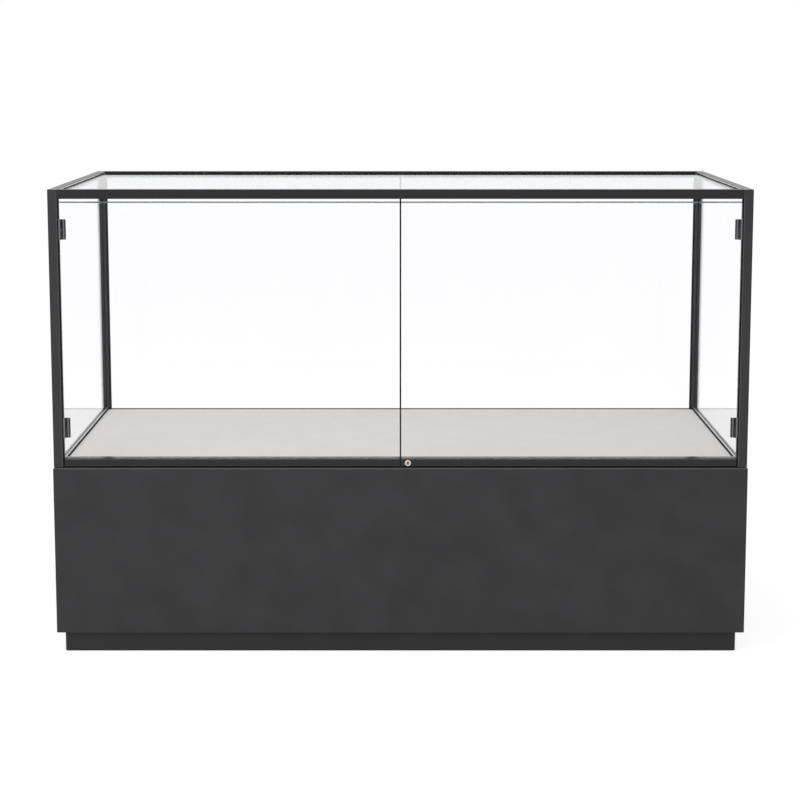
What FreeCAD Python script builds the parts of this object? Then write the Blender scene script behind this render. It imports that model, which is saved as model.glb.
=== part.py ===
"""Museum display case: glass hood with two hinged doors on a plain painted base and a recessed plinth.

Millimetres. X runs to the viewer's right, Y from front to back, Z up.
The origin is on the floor, under the centre of the case.
"""
import FreeCAD, Part
import math
import os

V = FreeCAD.Vector

# Overall sizes of the case.
CASE_WIDTH = 1500.0
CASE_DEPTH = 750.0
PLINTH_HEIGHT = 45.0
BASE_HEIGHT = 365.0
HOOD_GAP = 2.5
HOOD_HEIGHT = 597.5
HOOD_INSET = 2.0

# Plinth of folded sheet.
PLINTH_RECESS = 15.5
PLINTH_SHEET = 2.0
PLINTH_FLANGE = 25.0
PLINTH_CORNER_R = 8.0
BRACKET_LEG = 45.0
BRACKET_THICK = 3.0
BRACKET_EDGE_GAP = 3.0
PLINTH_SCREW_LONG_COUNT = 3
PLINTH_SCREW_SHORT_COUNT = 1
PLINTH_SCREW_SHARE = 0.6

# Base cabinet.
PANEL = 25.0
BASE_EDGE_R = 2.6
BASE_CORNER_R = 3.0
BOTTOM_BOARD = 18.0
TOP_BOARD = 22.0
PARTITION = 18.0

# Deck board.
DECK_BOARD = 6.0
DECK_CHAMFER = 1.5
DECK_GAP = 0.5

# Hood frame bars.
BAR = 20.0
BAR_EDGE_R = 1.5
SIDE_RAIL_WIDTH = 16.0
SIDE_RAIL_HEIGHT = 10.5
RAIL_FLOOR = 2.0
SILL_DEPTH = 11.5
SILL_WALL = 1.5

# Glass and its rubber channels.
GLASS = 6.0
RUBBER = 1.0
POST_GROOVE = 6.5
TOP_RAIL_GROOVE = 6.0
TOP_LIP = 3.5
CORNER_GAP = 1.0
BACK_JOINT = 2.0
BACK_JOINT_FLANGE = 4.0
BACK_JOINT_SKIN = 0.8
BACK_BEAD = 4.5
POST_SEAL_GAP = 0.3
POST_SEAL_END_GAP = 0.5
POST_SEAL_HINGE_GAP = 1.0

# Joints of the frame.
KEY = 5.0
KEY_DEPTH = 10.0
KEY_INSET = 6.5
ANCHOR_R = 2.5
ANCHOR_IN_POST = 30.0
ANCHOR_IN_BASE = 40.0
FIT = 0.05

# Screws.
SCREW_R = 1.8
SCREW_HEAD_R = 3.4
SCREW_HEAD = 1.6
SCREW_LENGTH = 22.0
SIDE_SCREW_COUNT = 2
LONG_SCREW_COUNT = 4
HINGE_SCREW_TIP_GAP = 1.0
HINGE_SCREW_R = 1.2
HINGE_SCREW_HEAD_R = 2.2
HINGE_SCREW_HEAD = 1.0

# Doors.
DOOR_SETBACK = 4.0
DOOR_TOP_GAP = 6.0
DOOR_LEAF_GAP = 1.0
DOOR_STOP_GAP = 2.5
DOOR_RAIL_HEIGHT = 16.5
DOOR_RAIL_DEPTH = 20.0
DOOR_RAIL_CHAMFER = 0.8
DOOR_GROOVE = 11.0
DOOR_CHAMBER_WALL = 2.0
END_CAP = 1.5
MEETING_GAP = 2.4
SEAL = 1.2
SEAL_GAP = 0.5
DOOR_GLASS_FLAT = 0.4

# Lift-off hinges.
HINGE_INSET = 85.0
HINGE_HEIGHT = 43.5
HINGE_POST_GAP = 0.5
HINGE_GLASS_GAP = 0.4
KNUCKLE_GAP = 0.4
PIN_R = 2.0
PIN_END_GAP = 1.5
LEAF = 2.0
LEAF_REACH = 12.5
LEAF_CORNER_R = 2.0
WING_END_GAP = 3.0
WING_KNUCKLE_GAP = 1.0
HINGE_SCREW_SHARE = 0.3

# Cam lock in the right door rail.
LOCK_FROM_MEETING = 16.0
LOCK_FLANGE_RIM = 1.9
LOCK_FLANGE = 1.4
LOCK_FLANGE_CHAMFER = 0.5
LOCK_TUBE_WALL = 1.0
LOCK_PLUG_R = 4.6
LOCK_PLUG_PROUD = 0.2
LOCK_SILL_GAP = 0.4
LOCK_NUT_WALL = 1.4
KEY_SLOT_WIDTH = 2.0
KEY_SLOT_HEIGHT = 7.0
KEY_SLOT_DEPTH = 9.0
GLASS_NOTCH_MARGIN = 1.5
CAM_THICK = 1.8
CAM_WIDTH = 8.0
CAM_REACH = 14.0
CAM_HUB_R = 5.5
CAM_SQUARE = 5.0
CAM_TAIL = 0.8
KEEPER_LINE = 3.0
KEEPER_THICK = 1.5
KEEPER_BORDER = 5.0
KEEPER_SIDE_GAP = 0.6
POCKET_GAP = 1.5

# Slide bolt behind the left door rail.
BOLT_FROM_MEETING = 16.0
BOLT_WIDTH = 6.0
BOLT_THICK = 3.0
BOLT_LENGTH = 11.5
BOLT_TRAVEL = 7.0
BOLT_GAP = 0.1
BOLT_KEEPER_GAP = 0.4
BOLT_KNOB_R = 1.4
BOLT_KNOB = 3.0
GUIDE_WIDTH = 12.0
GUIDE_BACK_WALL = 1.6
GUIDE_END_GAP = 0.5

# One overrun for every cut, and how nearly an edge has to run along an axis to count as along it.
OVER = 1.0
ALONG_SHARE = 0.999

# Levels and planes worked out from the sizes above.
BASE_TOP = PLINTH_HEIGHT + BASE_HEIGHT
HOOD_BOTTOM = BASE_TOP + HOOD_GAP
HOOD_TOP = HOOD_BOTTOM + HOOD_HEIGHT
DECK_TOP = BASE_TOP + DECK_BOARD
RAIL_UNDER = HOOD_TOP - BAR
HALF_W = CASE_WIDTH / 2
HALF_D = CASE_DEPTH / 2
HOOD_X = HALF_W - HOOD_INSET
HOOD_Y = HALF_D - HOOD_INSET
POST_IN_X = HOOD_X - BAR
POST_IN_Y = HOOD_Y - BAR
GLAZE_X = HOOD_X - BAR / 2
GLAZE_Y = HOOD_Y - BAR / 2
SIDE_RAIL_IN = HOOD_X - SIDE_RAIL_WIDTH
BACK_RAIL_IN = HOOD_Y - SIDE_RAIL_WIDTH
GROOVE = GLASS + 2 * RUBBER
PANE_IN_POST = POST_GROOVE - RUBBER
CORNER_DUB = 2 * (PANE_IN_POST + CORNER_GAP)
TOP_GROOVE_HIGH = HOOD_TOP - TOP_LIP
TOP_GROOVE_LOW = TOP_GROOVE_HIGH - GROOVE
PANE_LOW = BASE_TOP + RAIL_FLOOR + RUBBER
PANE_HIGH = RAIL_UNDER + TOP_RAIL_GROOVE - RUBBER
DOOR_FRONT = -HOOD_Y + DOOR_SETBACK
DOOR_BACK = DOOR_FRONT + DOOR_RAIL_DEPTH
DOOR_RAIL_TOP = HOOD_BOTTOM + DOOR_RAIL_HEIGHT
DOOR_TOP = RAIL_UNDER - DOOR_TOP_GAP
DOOR_OUT = POST_IN_X - LEAF - DOOR_LEAF_GAP
DOOR_IN = MEETING_GAP / 2
KNUCKLE_R = DOOR_SETBACK
HINGE_X = POST_IN_X - KNUCKLE_R - HINGE_POST_GAP
HINGE_Y = DOOR_FRONT
DOOR_GLASS_FRONT = HINGE_Y + KNUCKLE_R + HINGE_GLASS_GAP
DOOR_GLASS_BACK = DOOR_GLASS_FRONT + GLASS
DOOR_GROOVE_FLOOR = DOOR_RAIL_TOP - DOOR_GROOVE
DOOR_GLASS_LOW = DOOR_GROOVE_FLOOR + RUBBER
DOOR_GLASS_IN = SEAL_GAP / 2 + SEAL
DOOR_GLASS_EDGE_R = (GLASS - DOOR_GLASS_FLAT) / 2
HINGE_SCREW_LENGTH = LEAF + (BAR - GROOVE) / 2 - HINGE_SCREW_TIP_GAP
HINGE_LEVELS = (HOOD_BOTTOM + HINGE_INSET, HOOD_TOP - HINGE_INSET)
SILL_FRONT = DOOR_BACK + DOOR_STOP_GAP
SILL_BACK = SILL_FRONT + SILL_DEPTH
SILL_FLOOR = BASE_TOP + SILL_WALL
KEEPER_Y = SILL_FRONT + KEEPER_LINE
LOCK_Z = HOOD_BOTTOM + DOOR_RAIL_HEIGHT / 2
LOCK_TUBE_R = LOCK_PLUG_R + LOCK_TUBE_WALL
LOCK_FLANGE_R = LOCK_TUBE_R + LOCK_FLANGE_RIM
LOCK_TUBE_END = SILL_FRONT - LOCK_SILL_GAP
GUIDE_LOW = SILL_FLOOR + KEEPER_THICK + GUIDE_END_GAP
GUIDE_HIGH = DOOR_RAIL_TOP - SILL_WALL - GUIDE_END_GAP
BOLT_HIGH = GUIDE_HIGH - GUIDE_END_GAP
BOLT_LOW = BOLT_HIGH - BOLT_LENGTH
SIXTHS = [math.pi * k / 3 for k in range(6)]


def box(x0, x1, y0, y1, z0, z1):
    """Box between two values on each axis, in either order."""
    low = V(min(x0, x1), min(y0, y1), min(z0, z1))
    return Part.makeBox(abs(x1 - x0), abs(y1 - y0), abs(z1 - z0), low)


def rod(radius, start, end):
    """Round rod between two points."""
    way = end - start
    return Part.makeCylinder(radius, way.Length, start, way)


def hexagon(radius, z):
    """Six-sided outline round the Z axis at a level."""
    ring = [V(radius * math.cos(a), radius * math.sin(a), z) for a in SIXTHS]
    return Part.makePolygon(ring + ring[:1])


def placed(shape, start, way):
    """Shape moved so that its Z axis starts at a point and runs along a way."""
    shape.Placement = FreeCAD.Placement(start, FreeCAD.Rotation(V(0, 0, 1), way))
    return shape


def stud(radius, start, end):
    """Six-sided rod between two points, which stands for a threaded one."""
    way = end - start
    return placed(Part.Face(hexagon(radius, 0)).extrude(V(0, 0, way.Length)), start, way)


def countersunk(radius, head_r, head, length, start, way):
    """Six-sided screw that runs from the face of its sunk head along a way."""
    cone = Part.makeLoft([hexagon(head_r, 0), hexagon(radius, head)], True, True)
    shank = Part.Face(hexagon(radius, head)).extrude(V(0, 0, length - head))
    return placed(cone.fuse(shank).removeSplitter(), start, way)


def prism(points, z0, z1):
    """Upright prism over a plan outline."""
    corners = [V(x, y, z0) for x, y in points]
    face = Part.Face(Part.makePolygon(corners + corners[:1]))
    return face.extrude(V(0, 0, z1 - z0))


def along(shape, axis):
    """Edges of a shape that run straight along an axis."""
    found = []
    for edge in shape.Edges:
        way = edge.Vertexes[-1].Point - edge.Vertexes[0].Point
        if way.Length > 0 and abs(way.dot(axis)) > ALONG_SHARE * way.Length:
            found.append(edge)
    return found


def above(edges, level):
    """Edges that lie wholly above a level."""
    return [edge for edge in edges if edge.BoundBox.ZMin > level]


def bar(x0, x1, y0, y1, z0, z1, axis, radius=BAR_EDGE_R):
    """Square bar with its four long edges rounded."""
    shape = box(x0, x1, y0, y1, z0, z1)
    return shape.makeFillet(radius, along(shape, axis))


def cut(shape, tools):
    """Shape with every tool taken out of it."""
    return shape.cut(Part.Compound(list(tools)))


def mirrored(shape):
    """Copy of a shape on the other side of the case's middle plane."""
    return shape.mirror(V(0, 0, 0), V(1, 0, 0))


def spread(low, high, count):
    """Evenly spaced places between two ends, none of them on an end."""
    return [low + (high - low) * (2 * k + 1) / (2 * count) for k in range(count)]


def group(solids):
    """Separate solids that share one node."""
    return Part.Compound(list(solids))


def save(name, shape):
    """Writes one node."""
    shape.exportStep("parts/" + name + ".step")


def screw(x, y, top, extra=0.0):
    """Screw that points down, with its head flush at top."""
    return countersunk(SCREW_R + extra, SCREW_HEAD_R + extra, SCREW_HEAD, SCREW_LENGTH,
                       V(x, y, top), V(0, 0, -1))


def floor_screw_places():
    """Places and head levels of the screws that hold the floor rails and the sill."""
    level = BASE_TOP + RAIL_FLOOR
    places = {"left": [], "right": [], "back": [], "sill": []}
    for y in spread(-POST_IN_Y, POST_IN_Y, SIDE_SCREW_COUNT):
        places["left"].append((-GLAZE_X, y, level))
        places["right"].append((GLAZE_X, y, level))
    for x in spread(-POST_IN_X, POST_IN_X, LONG_SCREW_COUNT):
        places["back"].append((x, GLAZE_Y, level))
    for x in spread(-SIDE_RAIL_IN, SIDE_RAIL_IN, LONG_SCREW_COUNT):
        places["sill"].append((x, (KEEPER_Y + SILL_BACK) / 2, SILL_FLOOR))
    return places


FLOOR_SCREWS = floor_screw_places()


def screw_holes(side):
    """Clearance shapes for the screws of one floor rail."""
    return [screw(x, y, z, FIT) for x, y, z in FLOOR_SCREWS[side]]


def hood_screws():
    """All the screws of the floor rails and the sill."""
    return group(screw(*place) for side in FLOOR_SCREWS.values() for place in side)


def plinth_outline(inset, radius, z0, z1):
    """Solid over the plinth's plan, moved in from its face and rounded at the corners."""
    half_w = HALF_W - PLINTH_RECESS - inset
    half_d = HALF_D - PLINTH_RECESS - inset
    return bar(-half_w, half_w, -half_d, half_d, z0, z1, V(0, 0, 1), radius)


def plinth_screw_places():
    """Places of the screws that hold the plinth's top flange to the base."""
    inset = PLINTH_RECESS + PLINTH_FLANGE * PLINTH_SCREW_SHARE
    half_w = HALF_W - inset
    half_d = HALF_D - inset
    places = []
    for x in spread(-half_w, half_w, PLINTH_SCREW_LONG_COUNT):
        places += [(x, -half_d), (x, half_d)]
    for y in spread(-half_d, half_d, PLINTH_SCREW_SHORT_COUNT):
        places += [(-half_w, y), (half_w, y)]
    return places


def plinth_screw(x, y, extra=0.0):
    """Hexagon screw that points up through the plinth's top flange."""
    under = PLINTH_HEIGHT - PLINTH_SHEET
    head = stud(SCREW_HEAD_R + extra, V(x, y, under - SCREW_HEAD), V(x, y, under))
    shank = stud(SCREW_R + extra, V(x, y, under), V(x, y, under + BOTTOM_BOARD))
    return head.fuse(shank).removeSplitter()


def mitred(ring, out_x, out_y, depth, low, high):
    """Front, back, left and right parts of a ring, cut at forty-five degrees through its corners."""
    out_x, out_y = out_x + OVER, out_y + OVER
    in_x, in_y = out_x - depth - 2 * OVER, out_y - depth - 2 * OVER
    front = [(-out_x, -out_y), (out_x, -out_y), (in_x, -in_y), (-in_x, -in_y)]
    left = [(-out_x, -out_y), (-in_x, -in_y), (-in_x, in_y), (-out_x, out_y)]
    plans = {
        "front": front,
        "back": [(x, -y) for x, y in front],
        "left": left,
        "right": [(-x, y) for x, y in left],
    }
    return {side: ring.common(prism(plan, low - OVER, high + OVER)) for side, plan in plans.items()}


def plinth_pieces():
    """Folded channel all round, mitred at its rounded corners."""
    inner_r = PLINTH_CORNER_R - PLINTH_SHEET
    shell = plinth_outline(0, PLINTH_CORNER_R, 0, PLINTH_HEIGHT)
    hollow = plinth_outline(PLINTH_SHEET, inner_r, PLINTH_SHEET, PLINTH_HEIGHT - PLINTH_SHEET)
    out_x, out_y = HALF_W - PLINTH_RECESS, HALF_D - PLINTH_RECESS
    in_x, in_y = out_x - PLINTH_FLANGE, out_y - PLINTH_FLANGE
    mouth = box(-in_x, in_x, -in_y, in_y, -OVER, PLINTH_HEIGHT + OVER)
    holes = [plinth_screw(x, y, FIT) for x, y in plinth_screw_places()]
    ring = cut(shell, [hollow, mouth] + holes)
    parts = mitred(ring, out_x, out_y, PLINTH_FLANGE, 0, PLINTH_HEIGHT)
    for side, shape in parts.items():
        save("plinth_" + side, shape)


def plinth_brackets():
    """Angle plates inside the four corners of the plinth."""
    x = HALF_W - PLINTH_RECESS - PLINTH_SHEET
    y = HALF_D - PLINTH_RECESS - PLINTH_SHEET
    thick, leg, dub = BRACKET_THICK, BRACKET_LEG, PLINTH_CORNER_R
    low = PLINTH_SHEET + BRACKET_EDGE_GAP
    high = PLINTH_HEIGHT - PLINTH_SHEET - BRACKET_EDGE_GAP
    plan = [(x, y - leg), (x, y - dub), (x - dub, y), (x - leg, y), (x - leg, y - thick),
            (x - dub, y - thick), (x - thick, y - dub), (x - thick, y - leg)]
    plates = []
    for sx in (-1, 1):
        for sy in (-1, 1):
            plates.append(prism([(sx * a, sy * b) for a, b in plan], low, high))
    return group(plates)


def anchor(x, y, extra=0.0):
    """Upright rod that ties a post to the base."""
    return stud(ANCHOR_R + extra, V(x, y, BASE_TOP - ANCHOR_IN_BASE), V(x, y, HOOD_BOTTOM + ANCHOR_IN_POST))


def post_centres():
    """Plan centres of the four posts."""
    return [(x, y) for x in (-GLAZE_X, GLAZE_X) for y in (-GLAZE_Y, GLAZE_Y)]


def base_panels():
    """Four mitred panels cut from one rounded shell."""
    block = box(-HALF_W, HALF_W, -HALF_D, HALF_D, PLINTH_HEIGHT, BASE_TOP)
    block = block.makeFillet(BASE_CORNER_R, along(block, V(0, 0, 1)))
    block = block.makeFillet(BASE_EDGE_R, above(block.Edges, (PLINTH_HEIGHT + BASE_TOP) / 2))
    inside = box(-HALF_W + PANEL, HALF_W - PANEL, -HALF_D + PANEL, HALF_D - PANEL,
                 PLINTH_HEIGHT - OVER, BASE_TOP + OVER)
    anchors = [anchor(x, y, FIT) for x, y in post_centres()]
    holes = screw_holes("left") + screw_holes("right") + screw_holes("back")
    shell = cut(block, [inside] + anchors + holes)
    for side, shape in mitred(shell, HALF_W, HALF_D, PANEL, PLINTH_HEIGHT, BASE_TOP).items():
        save("base_" + side, shape)


def base_board(z0, z1):
    """Board that fills the base from panel to panel."""
    return box(-HALF_W + PANEL, HALF_W - PANEL, -HALF_D + PANEL, HALF_D - PANEL, z0, z1)


def base_bottom():
    """Bottom board, drilled for the plinth screws."""
    board = base_board(PLINTH_HEIGHT, PLINTH_HEIGHT + BOTTOM_BOARD)
    return cut(board, [plinth_screw(x, y, FIT) for x, y in plinth_screw_places()])


def base_top():
    """Top board under the deck, with pockets for the cam and the bolt."""
    board = base_board(BASE_TOP - TOP_BOARD, BASE_TOP)
    cam_pocket = keeper_slot(LOCK_Z - CAM_REACH - POCKET_GAP)
    bolt_pocket = bolt_slot(BOLT_LOW - BOLT_TRAVEL - POCKET_GAP)
    return cut(board, [cam_pocket, bolt_pocket] + screw_holes("sill"))


def base_partition():
    """Upright board in the middle of the base, under the deck."""
    end = HALF_D - PANEL
    low, high = PLINTH_HEIGHT + BOTTOM_BOARD, BASE_TOP - TOP_BOARD
    return box(-PARTITION / 2, PARTITION / 2, -end, end, low, high)


def deck_board():
    """Loose board inside the hood, notched round the back posts."""
    half = SIDE_RAIL_IN - DECK_GAP
    front = SILL_BACK + DECK_GAP
    back = BACK_RAIL_IN - DECK_GAP
    notch_x, notch_y = POST_IN_X - DECK_GAP, POST_IN_Y - DECK_GAP
    right = [(half, front), (half, notch_y), (notch_x, notch_y), (notch_x, back)]
    left = [(-x, y) for x, y in reversed(right)]
    board = prism(right + left, BASE_TOP, DECK_TOP)
    return board.makeChamfer(DECK_CHAMFER, above(board.Edges, (BASE_TOP + DECK_TOP) / 2))


def key(x, y, way, extra=0.0):
    """Square key across the joint at (x, y) between a top rail and a post, half in each."""
    half = V(1, 1, 1) * (KEY / 2 + extra) + way * (KEY_DEPTH - KEY / 2)
    low = V(x, y, HOOD_TOP - BAR / 2) - half
    high = low + half * 2
    return box(low.x, high.x, low.y, high.y, low.z, high.z)


def key_places():
    """Joint centres of the top rails with the posts, and the way each key runs."""
    side_x, front_y = HOOD_X - KEY_INSET, HOOD_Y - KEY_INSET
    places = []
    for sx in (-1, 1):
        for sy in (-1, 1):
            places.append((sx * POST_IN_X, sy * front_y, V(1, 0, 0)))
            places.append((sx * side_x, sy * POST_IN_Y, V(0, 1, 0)))
    return places


def key_holes():
    """Clearance shapes for all the keys."""
    return [key(x, y, way, FIT) for x, y, way in key_places()]


def post(sx, sy):
    """One upright bar, grooved for the panes that stand in it."""
    x_out, y_out = sx * HOOD_X, sy * HOOD_Y
    x_in, y_in = sx * POST_IN_X, sy * POST_IN_Y
    shape = bar(x_out, x_in, y_out, y_in, HOOD_BOTTOM, HOOD_TOP, V(0, 0, 1))
    low, high = HOOD_BOTTOM - OVER, RAIL_UNDER + TOP_RAIL_GROOVE
    half = GROOVE / 2
    x_mid, y_mid = sx * GLAZE_X, sy * GLAZE_Y
    tools = [box(x_mid - half, x_mid + half, y_in + sy * POST_GROOVE, y_in - sy * OVER, low, high)]
    if sy > 0:
        tools.append(box(x_in + sx * POST_GROOVE, x_in - sx * OVER, y_mid - half, y_mid + half, low, high))
    else:
        tools += [hinge_screw(z, FIT, sx) for z in hinge_screw_levels()]
    tools.append(anchor(x_mid, y_mid, FIT))
    return cut(shape, tools + key_holes())


def post_feet():
    """Pads that lift the posts off the base and leave the shadow gap."""
    half = BAR / 2 - BAR_EDGE_R
    feet = []
    for x, y in post_centres():
        foot = box(x - half, x + half, y - half, y + half, BASE_TOP, HOOD_BOTTOM)
        feet.append(foot.cut(anchor(x, y, FIT)))
    return group(feet)


def top_rail_x(sy):
    """Front or back top rail, grooved for the top pane and, at the back, for the back panes."""
    y_out, y_in = sy * HOOD_Y, sy * POST_IN_Y
    shape = bar(-POST_IN_X, POST_IN_X, y_out, y_in, RAIL_UNDER, HOOD_TOP, V(1, 0, 0))
    far = POST_IN_X + OVER
    tools = [box(-far, far, y_in + sy * POST_GROOVE, y_in - sy * OVER, TOP_GROOVE_LOW, TOP_GROOVE_HIGH)]
    if sy > 0:
        y_mid = sy * GLAZE_Y
        tools.append(box(-far, far, y_mid - GROOVE / 2, y_mid + GROOVE / 2,
                         RAIL_UNDER - OVER, RAIL_UNDER + TOP_RAIL_GROOVE))
    return cut(shape, tools + key_holes())


def top_rail_y(sx):
    """Left or right top rail, grooved for the top pane and the side pane."""
    x_out, x_in = sx * HOOD_X, sx * POST_IN_X
    shape = bar(x_out, x_in, -POST_IN_Y, POST_IN_Y, RAIL_UNDER, HOOD_TOP, V(0, 1, 0))
    far = POST_IN_Y + OVER
    x_mid = sx * GLAZE_X
    half = GROOVE / 2
    tools = [
        box(x_in + sx * POST_GROOVE, x_in - sx * OVER, -far, far, TOP_GROOVE_LOW, TOP_GROOVE_HIGH),
        box(x_mid - half, x_mid + half, -far, far, RAIL_UNDER - OVER, RAIL_UNDER + TOP_RAIL_GROOVE),
    ]
    return cut(shape, tools + key_holes())


def side_floor_rail(sx, side):
    """Left or right channel that holds the side pane at the deck."""
    z1 = BASE_TOP + SIDE_RAIL_HEIGHT
    shape = box(sx * HOOD_X, sx * SIDE_RAIL_IN, -POST_IN_Y, POST_IN_Y, BASE_TOP, z1)
    shape = shape.makeChamfer(SILL_WALL / 2, above(along(shape, V(0, 1, 0)), BASE_TOP + RAIL_FLOOR))
    x_mid = sx * GLAZE_X
    far = POST_IN_Y + OVER
    groove = box(x_mid - GROOVE / 2, x_mid + GROOVE / 2, -far, far, BASE_TOP + RAIL_FLOOR, z1 + OVER)
    return cut(shape, [groove] + screw_holes(side))


def back_floor_rail():
    """Back channel, level with the deck."""
    shape = box(-POST_IN_X, POST_IN_X, BACK_RAIL_IN, HOOD_Y, BASE_TOP, DECK_TOP)
    far = POST_IN_X + OVER
    half = GROOVE / 2
    groove = box(-far, far, GLAZE_Y - half, GLAZE_Y + half, BASE_TOP + RAIL_FLOOR, DECK_TOP + OVER)
    return cut(shape, [groove] + screw_holes("back"))


def keeper_slot(low):
    """Slot that the cam swings down into, from a level up past the keeper plate."""
    x = LOCK_FROM_MEETING
    gap = CAM_THICK / 2 + KEEPER_SIDE_GAP
    start = x - CAM_WIDTH / 2 - KEEPER_SIDE_GAP
    return box(start, x + CAM_REACH, KEEPER_Y - gap, KEEPER_Y + gap, low, SILL_FLOOR + KEEPER_THICK + OVER)


def bolt_slot(low):
    """Slot that the slide bolt drops into."""
    x = -BOLT_FROM_MEETING
    half_w = BOLT_WIDTH / 2 + BOLT_KEEPER_GAP
    half_t = BOLT_THICK / 2 + BOLT_KEEPER_GAP
    return box(x - half_w, x + half_w, KEEPER_Y - half_t, KEEPER_Y + half_t, low, SILL_FLOOR + OVER)


def front_sill():
    """Channel behind the door rails, open to the front, that stops the doors and takes cam and bolt."""
    shape = box(-SIDE_RAIL_IN, SIDE_RAIL_IN, SILL_FRONT, SILL_BACK, BASE_TOP, DOOR_RAIL_TOP)
    shape = shape.makeChamfer(SILL_WALL / 2, above(along(shape, V(1, 0, 0)), SILL_FLOOR))
    far = SIDE_RAIL_IN + OVER
    hollow = box(-far, far, SILL_FRONT - OVER, SILL_BACK - SILL_WALL, SILL_FLOOR, DOOR_RAIL_TOP - SILL_WALL)
    low = BASE_TOP - OVER
    return cut(shape, [hollow, keeper_slot(low), bolt_slot(low)] + screw_holes("sill"))


def lock_keeper():
    """Steel plate on the sill floor, slotted for the cam."""
    x = LOCK_FROM_MEETING
    start = x - CAM_WIDTH / 2 - KEEPER_BORDER
    plate = box(start, x + CAM_REACH + KEEPER_BORDER, SILL_FRONT, SILL_BACK - SILL_WALL,
                SILL_FLOOR, SILL_FLOOR + KEEPER_THICK)
    return plate.cut(keeper_slot(BASE_TOP))


def channel(x0, x1, y0, y1, z0, z1, slot):
    """Rubber channel that fills a groove, with a slot for the pane."""
    return box(x0, x1, y0, y1, z0, z1).cut(box(*slot))


def side_channels(sx):
    """Rubber round one side pane: floor, top and both posts."""
    x0, x1 = sx * GLAZE_X - GROOVE / 2, sx * GLAZE_X + GROOVE / 2
    g0, g1 = sx * GLAZE_X - GLASS / 2, sx * GLAZE_X + GLASS / 2
    floor = BASE_TOP + RAIL_FLOOR
    floor_top = BASE_TOP + SIDE_RAIL_HEIGHT
    end = POST_IN_Y
    far = end + OVER
    made = [
        channel(x0, x1, -end, end, floor, floor_top, (g0, g1, -far, far, PANE_LOW, floor_top + OVER)),
        channel(x0, x1, -end, end, RAIL_UNDER, RAIL_UNDER + TOP_RAIL_GROOVE,
                (g0, g1, -far, far, RAIL_UNDER - OVER, PANE_HIGH)),
    ]
    for sy in (-1, 1):
        deep = sy * (end + POST_GROOVE)
        edge = sy * (end + PANE_IN_POST)
        slot = (g0, g1, sy * (end - OVER), edge, floor_top - OVER, RAIL_UNDER + OVER)
        made.append(channel(x0, x1, sy * end, deep, floor_top, RAIL_UNDER, slot))
    return made


def back_channels():
    """Rubber round the back panes: floor, top and both posts."""
    y0, y1 = GLAZE_Y - GROOVE / 2, GLAZE_Y + GROOVE / 2
    g0, g1 = GLAZE_Y - GLASS / 2, GLAZE_Y + GLASS / 2
    floor = BASE_TOP + RAIL_FLOOR
    end = POST_IN_X
    far = end + OVER
    made = [
        channel(-end, end, y0, y1, floor, DECK_TOP, (-far, far, g0, g1, PANE_LOW, DECK_TOP + OVER)),
        channel(-end, end, y0, y1, RAIL_UNDER, RAIL_UNDER + TOP_RAIL_GROOVE,
                (-far, far, g0, g1, RAIL_UNDER - OVER, PANE_HIGH)),
    ]
    for sx in (-1, 1):
        deep = sx * (end + POST_GROOVE)
        edge = sx * (end + PANE_IN_POST)
        slot = (sx * (end - OVER), edge, g0, g1, DECK_TOP - OVER, RAIL_UNDER + OVER)
        made.append(channel(sx * end, deep, y0, y1, DECK_TOP, RAIL_UNDER, slot))
    return made


def top_channels():
    """Rubber round the top pane."""
    z0, z1 = TOP_GROOVE_LOW, TOP_GROOVE_HIGH
    g0, g1 = z0 + RUBBER, z1 - RUBBER
    end_x, end_y = POST_IN_X - CORNER_DUB / 2, POST_IN_Y - CORNER_DUB / 2
    made = []
    for s in (-1, 1):
        y_in, y_deep, y_edge = (s * (POST_IN_Y + d) for d in (0, POST_GROOVE, PANE_IN_POST))
        slot = (-HALF_W, HALF_W, y_in - s * OVER, y_edge, g0, g1)
        made.append(channel(-end_x, end_x, y_in, y_deep, z0, z1, slot))
        x_in, x_deep, x_edge = (s * (POST_IN_X + d) for d in (0, POST_GROOVE, PANE_IN_POST))
        slot = (x_in - s * OVER, x_edge, -HALF_D, HALF_D, g0, g1)
        made.append(channel(x_in, x_deep, -end_y, end_y, z0, z1, slot))
    return made


def glazing_channels():
    """All the rubber in the hood's grooves."""
    return group(side_channels(-1) + side_channels(1) + back_channels() + top_channels())


def top_glass():
    """Top pane with its corners dubbed off to clear the posts."""
    x = POST_IN_X + PANE_IN_POST
    y = POST_IN_Y + PANE_IN_POST
    dub = CORNER_DUB
    right = [(x - dub, -y), (x, -y + dub), (x, y - dub), (x - dub, y)]
    left = [(-a, b) for a, b in reversed(right)]
    return prism(right + left, TOP_GROOVE_LOW + RUBBER, TOP_GROOVE_HIGH - RUBBER)


def side_glass(sx):
    """Left or right pane."""
    x = sx * GLAZE_X
    end = POST_IN_Y + PANE_IN_POST
    return box(x - GLASS / 2, x + GLASS / 2, -end, end, PANE_LOW, PANE_HIGH)


def back_glass(sx):
    """Left or right half of the back."""
    end = sx * (POST_IN_X + PANE_IN_POST)
    inner = sx * BACK_JOINT / 2
    return box(end, inner, GLAZE_Y - GLASS / 2, GLAZE_Y + GLASS / 2, PANE_LOW, PANE_HIGH)


def back_joint_seal():
    """H-shaped strip between the two back panes."""
    low, high = DECK_TOP, RAIL_UNDER
    g0, g1 = GLAZE_Y - GLASS / 2, GLAZE_Y + GLASS / 2
    half = BACK_JOINT_FLANGE / 2
    strip = box(-half, half, g0 - BACK_JOINT_SKIN, g1 + BACK_JOINT_SKIN, low, high)
    sides = [box(s * BACK_JOINT / 2, s * (half + OVER), g0, g1, low - OVER, high + OVER) for s in (-1, 1)]
    return cut(strip, sides)


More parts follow.
